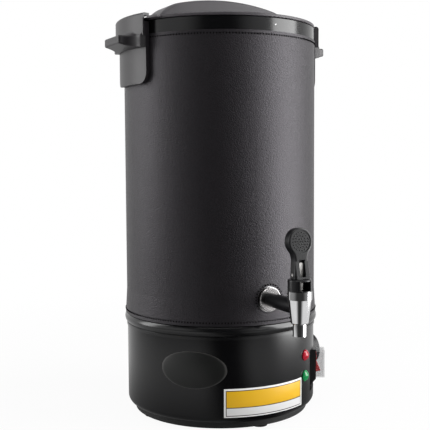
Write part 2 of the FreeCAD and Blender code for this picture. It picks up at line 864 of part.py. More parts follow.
bar_sketch = draw(new_sketch(lid, "XZ"), bar_outline(as_size(0.0), LID_TOP - S.lid_edge / 2))
push(lid, bar_sketch, S.bar_width, middle=True)
round_edges(lid, S.bar_round, lambda middle: (
    middle.z > LID_TOP.value - 1 and abs(abs(middle.y) - S.bar_width.value / 2) < 0.01))
PLUG_BORE = S.plug_radius - S.lid_wall
lathe(lid, [
    (0, LID_LOW), (PLUG_BORE, LID_LOW), (PLUG_BORE, LID_LOW - S.plug_depth),
    (S.plug_radius, LID_LOW - S.plug_depth), (S.plug_radius, LID_LOW),
    (S.lid_radius - S.lid_round, LID_LOW),
    (S.lid_radius, LID_LOW + S.lid_round, S.lid_round, 1),
    (S.lid_radius, LID_TOP - S.lid_round),
    (S.lid_radius - S.lid_round, LID_TOP, S.lid_round, 1), (0, LID_TOP),
])
hollow = draw(new_sketch(lid, "XZ"), bar_outline(S.lid_wall, LID_LOW - S.bond))
push(lid, hollow, S.bar_width - S.lid_wall * 2, cut=True, middle=True)
lug_low = LID_LOW + S.lug_lift
lug_sketch = new_sketch(lid, "XZ", 0.0, S.lug_start_angle + S.lug_angle / 2)
draw(lug_sketch, box(S.lid_radius - S.lid_round * 2, S.lid_radius + S.lug_reach,
                     lug_low, lug_low + S.lug_height))
repeat(lid, spin(lid, lug_sketch, angle=S.lug_angle), 2)
finish(lid)

# ---------------------------------------------------------------- carrying handles


def make_handle(label):
    """One handle, built on the +X side: a plate on the wall, a block with the lid's slot,
    a hook over the lid's lug and a flat grip."""
    body = new_body(label)
    tip_out = GRIP_REACH - S.grip_corner
    flank_end = tip_out - S.flank_radius
    inside = S.plate_out - S.bond * 4
    base_out = leg(inside, S.grip_half)
    grip = draw(new_sketch(body, "XY", S.grip_root_low), [
        (base_out, -S.grip_half, inside, -1), (flank_end, -S.grip_half),
        (tip_out, -S.grip_tip, S.flank_radius, -1),
        (GRIP_REACH, -S.grip_tip + S.grip_corner, S.grip_corner, 1),
        (GRIP_REACH, S.grip_tip - S.grip_corner),
        (tip_out, S.grip_tip, S.grip_corner, 1),
        (flank_end, S.grip_half, S.flank_radius, -1),
        (base_out, S.grip_half),
    ])
    push(body, grip, S.grip_level - S.grip_root_low)
    under = draw(new_sketch(body, "XZ"), [
        (S.plate_out, S.grip_root_low), (S.plate_out, S.grip_root_low - S.grip_corner),
        (GRIP_REACH + S.grip_corner, S.grip_root_low - S.grip_corner),
        (GRIP_REACH + S.grip_corner, S.grip_tip_low + S.grip_rake),
        (GRIP_REACH, S.grip_tip_low),
    ])
    push(body, under, S.grip_half * 3, cut=True, middle=True)
    round_edges(body, S.edge_round, lambda middle: (
        middle.x > flank_end.value + 1 and abs(middle.z - S.grip_level.value) < 0.01))
    round_edges(body, S.edge_round, lambda middle: (
        middle.x > flank_end.value + 1 and middle.z < S.grip_tip_low.value + 0.6))
    profile = draw(new_sketch(body, "XZ"), [
        (GRIP_BACK, S.plate_low), (S.plate_out, S.plate_low), (S.plate_out, S.block_low),
        (S.block_out, S.block_low), (S.block_out, S.hook_top - S.block_round),
        (S.block_out - S.block_round, S.hook_top, S.block_round, 1), (GRIP_BACK, S.hook_top),
    ])
    spin(body, profile, angle=S.grip_angle * 2)
    round_edges(body, S.root_round, lambda middle: (
        abs(middle.z - S.grip_level.value) < 0.01
        and abs(math.hypot(middle.x, middle.y) - S.block_out.value) < 0.1))
    slot = new_sketch(body, "XZ", 0.0, S.slot_open_angle / 2 - S.slot_past_angle)
    draw(slot, box(GRIP_BACK - S.moving, S.slot_out, HOOK_LOW - S.slot_height, HOOK_LOW))
    spin(body, slot, cut=True, angle=S.slot_open_angle)
    for height in (S.grip_screw_low, S.grip_screw_high):
        hole = draw_circle(new_sketch(body, "YZ", GRIP_BACK - S.bond), 0, height,
                           S.screw_radius + S.fit)
        push(body, hole, S.grip_screw_in + S.bond * 3, cut=True, back=True)
    round_edges(body, S.plate_corner, lambda middle: (
        abs(middle.z - S.plate_low.value) < 0.01
        and abs(middle.y) > S.grip_half.value - 3
        and GRIP_BACK.value - 2 < math.hypot(middle.x, middle.y) < S.plate_out.value - 0.5))
    return body


handle_left = make_handle("handle_left")
handle_right = make_handle("handle_right")
handle_left.Placement = FreeCAD.Placement(
    FreeCAD.Vector(0, 0, 0), FreeCAD.Rotation(FreeCAD.Vector(0, 0, 1), 180))
finish(handle_left)
finish(handle_right)

handle_screws = new_body("handle_screws")
for height in (S.grip_screw_low, S.grip_screw_high):
    grip_head = draw_circle(
        new_sketch(handle_screws, "YZ", SLEEVE_BORE - S.screw_head_height), 0, height, S.screw_head)
    repeat(handle_screws, push(handle_screws, grip_head, S.screw_head_height - S.bond), 2)
    grip_shank = draw_circle(
        new_sketch(handle_screws, "YZ", SLEEVE_BORE - S.screw_head_height), 0, height,
        S.screw_radius)
    shank_run = GRIP_BACK + S.grip_screw_in - SLEEVE_BORE + S.screw_head_height
    repeat(handle_screws, push(handle_screws, grip_shank, shank_run), 2)
finish(handle_screws)

# ---------------------------------------------------------------- heater under the pot
heating_plate = new_body("heating_plate")
lathe(heating_plate, [
    (S.stud_radius + S.fit, HEAT_PLATE_LOW), (S.hot_plate_radius, HEAT_PLATE_LOW),
    (S.hot_plate_radius, POT_LOW), (S.stud_radius + S.fit, POT_LOW),
])
finish(heating_plate)

element = doc.addObject("Part::Torus", "heating_element")
element.Label = "heating_element"
element.Radius1 = S.element_ring_radius.value
element.Radius2 = S.element_radius.value
bind(element, "Radius1", S.element_ring_radius)
bind(element, "Radius2", S.element_radius)
element.Placement.Base.z = (HEAT_PLATE_LOW - S.element_radius).value
bind(element, "Placement.Base.z", HEAT_PLATE_LOW - S.element_radius, " * 1 mm")
finish(element)

clamp = new_body("element_clamp")
clamp_sketch = draw(new_sketch(clamp, "XY", CLAMP_LOW), box(
    -S.clamp_length / 2, S.clamp_length / 2, -S.clamp_width / 2, S.clamp_width / 2))
draw_circle(clamp_sketch, 0, 0, S.stud_radius + S.fit)
push(clamp, clamp_sketch, S.clamp_thick)
finish(clamp)

stud = new_body("heater_stud")
stud_sketch = draw_circle(new_sketch(stud, "XY", STUD_LOW), 0, 0, S.stud_radius)
push(stud, stud_sketch, POT_LOW - STUD_LOW)
finish(stud)

stud_nut = new_body("heater_nut")
stud_nut_sketch = draw(
    new_sketch(stud_nut, "XY", CLAMP_LOW - S.stud_nut_height), hexagon(S.stud_nut * 2))
draw_circle(stud_nut_sketch, 0, 0, S.stud_radius + S.fit)
push(stud_nut, stud_nut_sketch, S.stud_nut_height)
finish(stud_nut)

cutout = new_body("thermal_cutout")
cutout_sketch = draw_circle(
    new_sketch(cutout, "XY", HEAT_PLATE_LOW - S.cutout_height), 0, S.cutout_x, S.cutout_radius)
push(cutout, cutout_sketch, S.cutout_height)
finish(cutout)

# ---------------------------------------------------------------- thermostat and knob
thermostat = new_body("thermostat")
THERMO_FACE = DRUM_BORE - S.thermostat_gap
lathe_out(thermostat, [
    (THERMO_FACE - S.thermostat_depth, 0), (THERMO_FACE - S.thermostat_depth,
                                            S.thermostat_radius),
    (THERMO_FACE, S.thermostat_radius), (THERMO_FACE, S.bush_radius),
    (S.bush_end, S.bush_radius), (S.bush_end, S.spindle_radius + S.running),
    (THERMO_FACE - S.thermostat_gap, S.spindle_radius + S.running),
    (THERMO_FACE - S.thermostat_gap, 0),
])
finish(stand(thermostat, 90.0, S.knob_height))

bush_nut = new_body("thermostat_nut")
bush_nut_sketch = draw(new_sketch(bush_nut, "YZ", S.drum_radius), hexagon(S.bush_nut * 2))
draw_circle(bush_nut_sketch, 0, 0, S.bush_radius + S.fit)
push(bush_nut, bush_nut_sketch, S.bush_nut_thick)
finish(stand(bush_nut, 90.0, S.knob_height))

spindle = new_body("knob_shaft")
KNOB_FLOOR = S.knob_face - S.knob_wall
spindle_sketch = draw_circle(
    new_sketch(spindle, "YZ", THERMO_FACE - S.thermostat_gap + S.moving), 0, 0, S.spindle_radius)
push(spindle, spindle_sketch, KNOB_FLOOR - THERMO_FACE + S.thermostat_gap - S.moving)
finish(stand(spindle, 90.0, S.knob_height))

knob = new_body("knob")
lathe_out(knob, [
    (S.hub_start, S.spindle_radius + S.fit), (S.hub_start, S.hub_radius),
    (KNOB_FLOOR, S.hub_radius), (KNOB_FLOOR, S.knob_radius - S.knob_wall),
    (KNOB_BACK, S.knob_radius - S.knob_wall), (KNOB_BACK, S.knob_radius),
    (S.knob_face - S.knob_round, S.knob_radius),
    (S.knob_face, S.knob_radius - S.knob_round, S.knob_round, -1), (S.knob_face, 0),
    (KNOB_FLOOR, 0), (KNOB_FLOOR, S.spindle_radius + S.fit),
])
finish(stand(knob, 90.0, S.knob_height))

# ---------------------------------------------------------------- indicator lamps
for name, height in zip(("red", "green"), LAMP_HEIGHTS):
    lens = new_body("lens_" + name)
    LENS_BACK = S.drum_radius + S.fit
    LENS_EDGE = LENS_BACK + S.lens_rim
    LENS_TOP = LENS_EDGE + S.lens_dome - leg(S.lens_dome, S.lens_radius)
    lathe_out(lens, [
        (LENS_BACK - S.lens_depth, 0), (LENS_BACK - S.lens_depth, S.lens_stem),
        (LENS_BACK, S.lens_stem), (LENS_BACK, S.lens_radius), (LENS_EDGE, S.lens_radius),
        (LENS_TOP, 0, S.lens_dome, -1),
    ])
    finish(stand(lens, S.lamp_phi, height))
    lamp = new_body("lamp_" + name)
    LAMP_FACE = DRUM_BORE - S.moving
    LAMP_POCKET = LENS_BACK - S.lens_depth
    lathe_out(lamp, [
        (LAMP_FACE - S.lamp_depth, 0), (LAMP_FACE - S.lamp_depth, S.lamp_radius),
        (LAMP_FACE, S.lamp_radius), (LAMP_FACE, S.lens_stem + S.fit),
        (LAMP_POCKET, S.lens_stem + S.fit), (LAMP_POCKET, 0),
    ])
    finish(stand(lamp, S.lamp_phi, height))

# ---------------------------------------------------------------- rocker switch
switch_frame = new_body("switch_frame")
frame_low = S.frame_low - S.rocker_height
frame_top = S.frame_top - S.rocker_height
pad_out(switch_frame, box(-S.frame_width / 2, S.frame_width / 2, frame_low, frame_top),
        S.flat_plane, FRAME_FACE)
slant = draw(new_sketch(switch_frame, "XZ"), [
    (FRAME_FACE, frame_low + S.frame_slant), (FRAME_FACE - S.frame_slant_in, frame_low),
    (FRAME_FACE - S.frame_slant_in, frame_low - 1), (FRAME_FACE + 1, frame_low - 1),
    (FRAME_FACE + 1, frame_low + S.frame_slant),
])
push(switch_frame, slant, S.frame_width + 2, cut=True, middle=True)
WINDOW_HALF = S.rocker_width / 2 + S.moving
WINDOW_TALL = S.rocker_half + S.rocker_dip
cut_out(switch_frame, box(-WINDOW_HALF, WINDOW_HALF, -WINDOW_TALL, WINDOW_TALL),
        S.flat_plane - 1, FRAME_FACE + 1)
pivot_sketch = draw_circle(new_sketch(switch_frame, "XZ"), ROCKER_AXIS, 0,
                           S.pivot_radius + S.running)
push(switch_frame, pivot_sketch, WINDOW_HALF * 2 + S.pivot_length * 2, cut=True, middle=True)
finish(stand(switch_frame, S.switch_phi, S.rocker_height))

switch_body = new_body("switch_body")
pad_out(switch_body, box(-S.switch_width / 2, S.switch_width / 2,
                         -S.switch_tall / 2, S.switch_tall / 2),
        S.flat_plane - S.switch_depth, S.flat_plane)
WELL_HALF = S.rocker_half - 1
cut_out(switch_body, box(-WINDOW_HALF, WINDOW_HALF, -WELL_HALF, WELL_HALF),
        S.flat_plane - S.rocker_out, S.flat_plane + 1)
finish(stand(switch_body, S.switch_phi, S.rocker_height))

rocker = new_body("switch_rocker")
rocker_sketch = draw(new_sketch(rocker, "XZ"), [
    (-S.rocker_out + 1, -S.rocker_dip), (S.rocker_dip, -S.rocker_half),
    (S.rocker_face, -S.rocker_half), (S.rocker_face - S.rocker_dip, 0),
    (S.rocker_face, S.rocker_half), (S.rocker_dip, S.rocker_half),
    (-S.rocker_out + 1, S.rocker_dip),
])
push(rocker, rocker_sketch, S.rocker_width, middle=True)
pivot = draw_circle(new_sketch(rocker, "XZ"), 0, 0, S.pivot_radius)
push(rocker, pivot, S.rocker_width + S.pivot_length * 2, middle=True)
swing = FreeCAD.Rotation(FreeCAD.Vector(0, 0, 1), S.switch_phi.value - 90)
tilt = FreeCAD.Rotation(FreeCAD.Vector(0, 1, 0), S.rocker_tilt.value * -1)
axis_point = swing.multVec(FreeCAD.Vector(ROCKER_AXIS.value, 0, 0))
rocker.Placement = FreeCAD.Placement(
    FreeCAD.Vector(axis_point.x, axis_point.y, S.rocker_height.value), swing.multiply(tilt))
finish(rocker)

hood = new_body("switch_hood")
hood_low = S.hood_low - S.rocker_height
hood_top = S.hood_top - S.rocker_height
pad_out(hood, round_box(S.hood_width / 2, hood_low, hood_top, S.hood_corner),
        FRAME_FACE, FRAME_FACE + S.hood_out)
cut_out(hood, round_box(S.hood_width / 2 - S.hood_wall, hood_low + S.hood_wall,
                        hood_top - S.hood_wall, S.hood_corner - S.hood_wall),
        FRAME_FACE - 1, FRAME_FACE + S.hood_out - S.hood_wall)
finish(stand(hood, S.switch_phi, S.rocker_height))

# ---------------------------------------------------------------- mains inlet
power_inlet = new_body("power_inlet")
INLET_FACE = S.flat_plane + S.inlet_flange
pad_out(power_inlet, round_box(S.inlet_width / 2, -S.inlet_tall / 2, S.inlet_tall / 2, 4.0),
        S.flat_plane, INLET_FACE)
pad_out(power_inlet, box(-S.inlet_body_width / 2, S.inlet_body_width / 2,
                         -S.inlet_body_tall / 2, S.inlet_body_tall / 2),
        S.flat_plane - S.inlet_depth, S.flat_plane + 1)
cut_out(power_inlet, round_box(S.mouth_width / 2, -S.mouth_tall / 2, S.mouth_tall / 2, 2.0),
        INLET_FACE - S.mouth_depth, INLET_FACE + 1)
for side in (-1, 1):
    screw_way = draw_circle(new_sketch(power_inlet, "YZ", S.flat_plane - 1),
                            S.inlet_screw_step * side, 0, S.inlet_screw_radius + S.fit)
    push(power_inlet, screw_way, 10, cut=True, back=True)
finish(stand(power_inlet, 180.0, S.inlet_height))

prongs = new_body("inlet_pins")
prong_low = INLET_FACE - S.mouth_depth
for step, rise in ((-1, -1), (1, -1), (0, 1)):
    middle_y = S.prong_step * step
    middle_z = S.prong_thick * rise
    prong = new_sketch(prongs, "YZ", prong_low)
    draw(prong, box(middle_y - S.prong_thick / 2, middle_y + S.prong_thick / 2,
                    middle_z - S.prong_width / 2, middle_z + S.prong_width / 2))
    push(prongs, prong, S.prong_length)
finish(stand(prongs, 180.0, S.inlet_height))

inlet_screws = new_body("inlet_screws")
for side in (-1, 1):
    inlet_head = draw_circle(new_sketch(inlet_screws, "YZ", INLET_FACE),
                             S.inlet_screw_step * side, 0, S.inlet_screw_head)
    push(inlet_screws, inlet_head, S.inlet_screw_head_height)
    inlet_shank = draw_circle(
        new_sketch(inlet_screws, "YZ", S.flat_plane - S.drum_wall * 4),
        S.inlet_screw_step * side, 0, S.inlet_screw_radius)
    push(inlet_screws, inlet_shank, S.drum_wall * 4 + S.inlet_flange)
    inlet_nut = draw_circle(
        new_sketch(inlet_screws, "YZ", S.flat_plane - S.drum_wall * 3),
        S.inlet_screw_step * side, 0, S.inlet_screw_head)
    push(inlet_screws, inlet_nut, S.drum_wall * 2 - S.fit)
finish(stand(inlet_screws, 180.0, S.inlet_height))

# ---------------------------------------------------------------- tap
tap_body = new_body("tap_body")
RIM_LOW = CUP_TOP - S.cup_rim_height
lathe(tap_body, [
    (S.nozzle_bore, NOZZLE_LOW), (S.nozzle_radius, NOZZLE_LOW),
    (S.nozzle_radius, CUP_LOW), (S.cup_foot - S.cup_corner, CUP_LOW),
    (S.cup_foot, CUP_LOW + S.cup_corner, S.cup_corner, 1),
    (S.cup_neck, RIM_LOW), (S.cup_rim_radius, RIM_LOW), (S.cup_rim_radius, CUP_TOP),
    (S.nozzle_bore, CUP_TOP),
])
shank = draw_circle(new_sketch(tap_body, "XZ"), 0, S.tap_height, S.shank_radius)
push(tap_body, shank, S.tap_reach - S.shank_inside, back=True)
lathe(tap_body, [
    (0, NOZZLE_LOW - 1), (S.nozzle_bore, NOZZLE_LOW - 1), (S.nozzle_bore, CHAMBER_LOW),
    (S.chamber_radius, CHAMBER_LOW), (S.chamber_radius, BONNET_FLOOR),
    (S.bonnet_thread + S.fit, BONNET_FLOOR), (S.bonnet_thread + S.fit, CUP_TOP + 1),
    (0, CUP_TOP + 1),
], cut=True)
bore = draw_circle(new_sketch(tap_body, "XZ"), 0, S.tap_height, S.shank_bore)
push(tap_body, bore, S.tap_reach, cut=True)
finish(at_tap(tap_body))

cover_blank = new_body("cover_blank")
lathe_out(cover_blank, [
    (RING_FACE, S.shank_radius + S.fit), (RING_FACE, S.cover_root),
    (S.tap_reach, S.cover_tip), (S.tap_reach, S.shank_radius + S.fit),
])
stand(cover_blank, 0.0, S.tap_height)
cover_cutter = doc.addObject("Part::Cone", "cover_cutter")
cover_cutter.Radius1 = S.cup_foot.value
cover_cutter.Radius2 = S.cup_neck.value
cover_cutter.Height = (RIM_LOW - CUP_LOW - S.cup_corner).value
bind(cover_cutter, "Radius1", S.cup_foot + S.fit)
bind(cover_cutter, "Radius2", S.cup_neck + S.fit)
bind(cover_cutter, "Height", RIM_LOW - CUP_LOW - S.cup_corner)
cover_cutter.Placement.Base = FreeCAD.Vector(
    0, -S.tap_reach.value, (CUP_LOW + S.cup_corner).value)
finish(cut("tap_cover", cover_blank, cover_cutter))

ring_blank = new_body("ring_blank")
lathe_out(ring_blank, [
    (S.sleeve_radius - 3, S.shank_radius + S.fit), (S.sleeve_radius - 3, S.ring_radius),
    (RING_FACE - S.lens_rim, S.ring_radius),
    (RING_FACE, S.ring_radius - S.lens_rim, S.lens_rim, 1), (RING_FACE, S.shank_radius + S.fit),
])
stand(ring_blank, 0.0, S.tap_height)
finish(cut("tap_ring", ring_blank, pot_form("sleeve_form", S.sleeve_radius)))

spacer = new_body("tap_spacer")
SPACER_END = leg(SLEEVE_BORE, S.spacer_radius) - S.bond / 5
spacer_sketch = draw_circle(
    new_sketch(spacer, "YZ", S.pot_radius), 0, 0, S.spacer_radius)
draw_circle(spacer_sketch, 0, 0, S.shank_radius + S.fit)
push(spacer, spacer_sketch, SPACER_END - S.pot_radius)
finish(stand(spacer, 0.0, S.tap_height))

washer = new_body("tap_washer")
WASHER_FACE = leg(POT_BORE, S.washer_radius) - S.bond / 5
washer_sketch = draw_circle(
    new_sketch(washer, "YZ", WASHER_FACE - S.washer_thick), 0, 0, S.washer_radius)
draw_circle(washer_sketch, 0, 0, S.shank_radius + S.fit)
push(washer, washer_sketch, S.washer_thick)
finish(stand(washer, 0.0, S.tap_height))

lock_nut = new_body("tap_lock_nut")
lock_sketch = draw(
    new_sketch(lock_nut, "YZ", WASHER_FACE - S.washer_thick - S.nut_thick), hexagon(S.nut_flats))
draw_circle(lock_sketch, 0, 0, S.shank_radius + S.fit)
push(lock_nut, lock_sketch, S.nut_thick)
finish(stand(lock_nut, 0.0, S.tap_height))

bonnet = new_body("tap_bonnet")
STEM_BORE = S.stem_radius + S.running
BONNET_WELL = CUP_TOP + S.moving * 2
lathe(bonnet, [
    (STEM_BORE, BONNET_FLOOR), (S.bonnet_thread, BONNET_FLOOR), (S.bonnet_thread, CUP_TOP),
    (S.bonnet_radius, CUP_TOP), (S.bonnet_radius, BONNET_TOP - S.lever_round),
    (S.bonnet_radius - S.lever_round, BONNET_TOP, S.lever_round, 1),
    (S.bonnet_bore, BONNET_TOP), (S.bonnet_bore, BONNET_WELL), (STEM_BORE, BONNET_WELL),
])
slot_front = draw(new_sketch(bonnet, "XY", BONNET_WELL + S.moving), box(
    -S.bonnet_slot / 2, S.bonnet_slot / 2, -S.bonnet_radius * 2, 0))
push(bonnet, slot_front, BONNET_TOP - S.bonnet_band - BONNET_WELL - S.moving, cut=True, back=True)
finish(at_tap(bonnet))

# Moving parts of the tap.
seat = new_body("tap_seat")
SEAT_LOW = CHAMBER_LOW + S.moving
lathe(seat, [
    (0, SEAT_LOW), (S.nozzle_bore, SEAT_LOW), (S.seat_radius, SEAT_LOW + S.cup_corner),
    (S.seat_radius, SEAT_TOP), (0, SEAT_TOP),
])
finish(at_tap(seat))

stem = new_body("tap_stem")
stem_rod = draw_circle(new_sketch(stem, "XY", SEAT_TOP), 0, 0, S.stem_radius)
push(stem, stem_rod, STEM_BLOCK_TOP - SEAT_TOP)
stem_block = draw_circle(new_sketch(stem, "XY", STEM_BLOCK_LOW), 0, 0, S.stem_block)
push(stem, stem_block, STEM_BLOCK_TOP - STEM_BLOCK_LOW)
tongue_side = S.stem_tongue / 2
tongue_deep = S.stem_tongue_depth / 2
tongue_sketch = draw(new_sketch(stem, "XY", STEM_BLOCK_TOP - 1), box(
    -tongue_side, tongue_side, -tongue_deep, tongue_deep))
push(stem, tongue_sketch, PIN_LEVEL + S.stem_tongue_rise - STEM_BLOCK_TOP + 1)
pin_way = draw_circle(new_sketch(stem, "YZ"), 0, PIN_LEVEL, S.pin_radius + S.fit)
push(stem, pin_way, 20, cut=True, middle=True)
finish(at_tap(stem))

pin = new_body("tap_pin")
pin_sketch = draw_circle(new_sketch(pin, "YZ"), 0, PIN_LEVEL, S.pin_radius)
push(pin, pin_sketch, S.lever_foot + S.moving * 2, middle=True)
finish(at_tap(pin))

spring_path = doc.addObject("Part::Helix", "spring_path")
spring_path.Radius = S.spring_radius.value
spring_path.Pitch = S.spring_pitch.value
spring_path.Height = (BONNET_FLOOR - SEAT_TOP - S.spring_wire * 2).value
bind(spring_path, "Radius", S.spring_radius)
bind(spring_path, "Pitch", S.spring_pitch)
bind(spring_path, "Height", BONNET_FLOOR - SEAT_TOP - S.spring_wire * 2)
spring_wire = doc.addObject("Part::Circle", "spring_wire")
spring_wire.Radius = S.spring_wire.value
bind(spring_wire, "Radius", S.spring_wire)
spring_wire.Placement = FreeCAD.Placement(
    FreeCAD.Vector(S.spring_radius.value, 0, 0),
    FreeCAD.Rotation(FreeCAD.Vector(1, 0, 0), 90))
bind(spring_wire, "Placement.Base.x", S.spring_radius, " * 1 mm")
spring = doc.addObject("Part::Sweep", "tap_spring")
spring.Label = "tap_spring"
spring.Sections = [spring_wire]
doc.recompute()
spring.Spine = (spring_path, ["Edge1"])
spring.Solid = True
spring.Frenet = True
spring.Placement.Base = FreeCAD.Vector(
    0, -S.tap_reach.value, (SEAT_TOP + S.spring_wire).value)
bind(spring, "Placement.Base.z", SEAT_TOP + S.spring_wire, " * 1 mm")
finish(spring)

# The lever is drawn upright about its pin and then leans back a little.
lever = new_body("tap_lever")
half_neck = S.lever_neck / 2
half_foot = S.lever_foot / 2
half_thick = S.lever_thick / 2
TOE_LOW = -S.pin_height
HEAD_RISE = HEAD_LEVEL - PIN_LEVEL
LEVER_TOP = HEAD_RISE + S.head_radius
throat_x = half_neck + S.lever_throat
throat_z = HEAD_RISE - leg(S.head_radius + S.lever_throat, throat_x)
share = S.head_radius / (S.head_radius + S.lever_throat)
join_x = throat_x * share
join_z = HEAD_RISE + (throat_z - HEAD_RISE) * share
outline = draw(new_sketch(lever, "XZ"), [
    (half_foot, TOE_LOW), (half_foot, 0), (half_neck, S.heel_rise),
    (half_neck, throat_z), (join_x, join_z, S.lever_throat, -1),
    (0, LEVER_TOP, S.head_radius, 1), (-join_x, join_z, S.head_radius, 1),
    (-half_neck, throat_z, S.lever_throat, -1), (-half_neck, S.heel_rise),
    (-half_foot, 0), (-half_foot, TOE_LOW),
])
push(lever, outline, S.lever_thick, middle=True)
round_edges(lever, S.lever_round, lambda middle: (
    abs(abs(middle.y) - half_thick.value) < 0.01 and middle.z > TOE_LOW.value + 0.5))
toe = draw(new_sketch(lever, "YZ"), [
    (-half_thick, S.heel_rise), (-S.lever_heel, TOE_LOW), (0, TOE_LOW), (0, S.heel_rise),
])
push(lever, toe, S.lever_neck, middle=True)
beneath = draw(new_sketch(lever, "YZ"), [
    (-S.lever_heel - 1, TOE_LOW - 1), (S.lever_heel, TOE_LOW - 1),
    (S.lever_heel, TOE_LOW + S.heel_gap), (-S.lever_heel - 1, TOE_LOW),
])
push(lever, beneath, S.head_radius * 3, cut=True, middle=True)
fork = draw(new_sketch(lever, "XZ", S.lever_heel - S.toe_wall), box(
    -S.lever_slot / 2, S.lever_slot / 2, TOE_LOW - 2, S.window_height - S.window_drop))
push(lever, fork, S.lever_heel * 3, cut=True)
eye = draw_circle(new_sketch(lever, "YZ"), 0, 0, S.pin_radius + S.running)
push(lever, eye, S.lever_foot * 2, cut=True, middle=True)
pad_well = draw_circle(new_sketch(lever, "XZ", half_thick), 0, HEAD_RISE, S.pad_radius)
push(lever, pad_well, S.pad_depth, cut=True)
window = draw(new_sketch(lever, "XZ", S.lever_heel), box(
    -S.window_width / 2, S.window_width / 2,
    -S.window_drop, S.window_height - S.window_drop))
push(lever, window, S.window_depth, cut=True)
lever.Placement = FreeCAD.Placement(
    FreeCAD.Vector(0, -S.tap_reach.value, PIN_LEVEL.value),
    FreeCAD.Rotation(FreeCAD.Vector(1, 0, 0), -S.lever_lean.value))
bind(lever, "Placement.Base.y", -S.tap_reach, " * 1 mm")
bind(lever, "Placement.Base.z", PIN_LEVEL, " * 1 mm")
finish(lever)

# ---------------------------------------------------------------- check and write
doc.recompute()
for item in doc.Objects:
    for word in ("Invalid", "Error"):
        if word in item.State:
            raise RuntimeError(f"{item.Label} ({item.Name}): {item.State}")
os.makedirs("parts", exist_ok=True)
for item in parts:
    if item.Shape.isNull() or not item.Shape.isValid():
        raise RuntimeError(f"{item.Label}: no valid shape")
    item.Shape.exportStep(os.path.join("parts", item.Label + ".step"))
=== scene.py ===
import math

import bpy
from mathutils import Matrix, Vector


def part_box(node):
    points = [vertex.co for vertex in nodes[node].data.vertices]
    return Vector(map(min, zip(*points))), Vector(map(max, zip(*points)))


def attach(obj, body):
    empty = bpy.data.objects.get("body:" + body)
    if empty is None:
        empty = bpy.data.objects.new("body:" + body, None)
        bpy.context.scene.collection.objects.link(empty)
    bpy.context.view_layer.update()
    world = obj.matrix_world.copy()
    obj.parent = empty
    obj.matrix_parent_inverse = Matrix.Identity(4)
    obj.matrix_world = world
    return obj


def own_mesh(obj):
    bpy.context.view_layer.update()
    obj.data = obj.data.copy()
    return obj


# Wax melting urn: a leather-wrapped pot on a black drum of controls, with a twist-lock
# lid, two carrying handles and a lever tap. Directions round the urn are angles from the
# tap, growing towards the right-hand handle.

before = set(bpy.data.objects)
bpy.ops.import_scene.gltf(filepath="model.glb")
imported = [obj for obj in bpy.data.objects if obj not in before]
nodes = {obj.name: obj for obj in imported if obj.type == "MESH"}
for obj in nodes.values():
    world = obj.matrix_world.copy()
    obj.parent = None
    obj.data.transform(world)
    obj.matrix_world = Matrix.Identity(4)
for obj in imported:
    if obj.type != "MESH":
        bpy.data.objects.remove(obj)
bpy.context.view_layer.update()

MM = 0.001
SMOOTH_ANGLE = math.radians(35.0)

LEATHER_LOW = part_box("leather_jacket")[0].z
LEATHER_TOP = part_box("leather_jacket")[1].z
LEATHER_RADIUS = 112.0 * MM
LEATHER_FLARE = 1.7 * MM
FLARE_HEIGHT = 28.0 * MM
DRUM_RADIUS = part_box("base_drum")[1].y
COLLAR_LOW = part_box("rim_collar")[0].z
COLLAR_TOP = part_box("rim_collar")[1].z
COLLAR_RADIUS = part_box("rim_collar")[1].y
TAP_HEIGHT = (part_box("tap_ring")[0].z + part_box("tap_ring")[1].z) / 2
TAP_RING_RADIUS = (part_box("tap_ring")[1].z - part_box("tap_ring")[0].z) / 2
PIN_PLACE = (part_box("tap_pin")[0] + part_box("tap_pin")[1]) / 2

# Stitching: a stitch lies flat over one share of its pitch and dips over another at each end.
SEAM_INSET = 3.8 * MM
STITCH_PITCH = 3.4 * MM
STITCH_FLAT = 0.20
STITCH_DIP = 0.11
THREAD_RADIUS = 0.95 * MM
RING_SEAM_GAP = 3.0 * MM
LOW_SEAM = LEATHER_LOW + SEAM_INSET
TOP_SEAM = LEATHER_TOP - SEAM_INSET

# The leather is pulled in between these two distances from a row of stitches.
PULL_NEAR = 0.3 * MM
PULL_FAR = 1.6 * MM
GRAIN_DEPTH = 0.24 * MM

# Thumb pad of the lever
LEVER_LEAN = math.radians(4.2)
PAD_FLOOR = 4.3 * MM
PAD_LEVEL = 34.0 * MM
PAD_DOT_STEP = 3.05 * MM
PAD_DOT_RADIUS = 0.72 * MM
PAD_DOT_RINGS = 3

# Blank sticker on the drum
STICKER_WIDE = 104.0 * MM
STICKER_LOW = 17.2 * MM
STICKER_TOP = 49.6 * MM
STICKER_BORDER = 2.0 * MM
STICKER_LINE = 0.9 * MM
STICKER_PARTING = 28.5 * MM
STICKER_THICK = 0.18 * MM
STICKER_EDGE = 0.04 * MM
INK_SPREAD = 0.12 * MM

# Bare oval on the drum
OVAL_TURN = math.radians(-44.3)
OVAL_HEIGHT = 69.6 * MM
OVAL_WIDE = 37.2 * MM
OVAL_TALL = 20.6 * MM
OVAL_PROUD = 0.6 * MM
OVAL_EDGE = 0.3 * MM

# The band round the drum that both are cut from, and how far they sink into the wall
BAND_MIDDLE = 60 * MM
BAND_TALL = 84 * MM
PLATE_SINK = 0.1 * MM
CUTTER_DEEP = 60 * MM

# White dot on the collar
DOT_TURN = math.radians(4.6)
DOT_LEVEL = 0.52
DOT_RADIUS = 0.9 * MM
DOT_THICK = 0.5 * MM
DOT_EDGE = 0.12 * MM


# ------------------------------------------------------------------ finishes


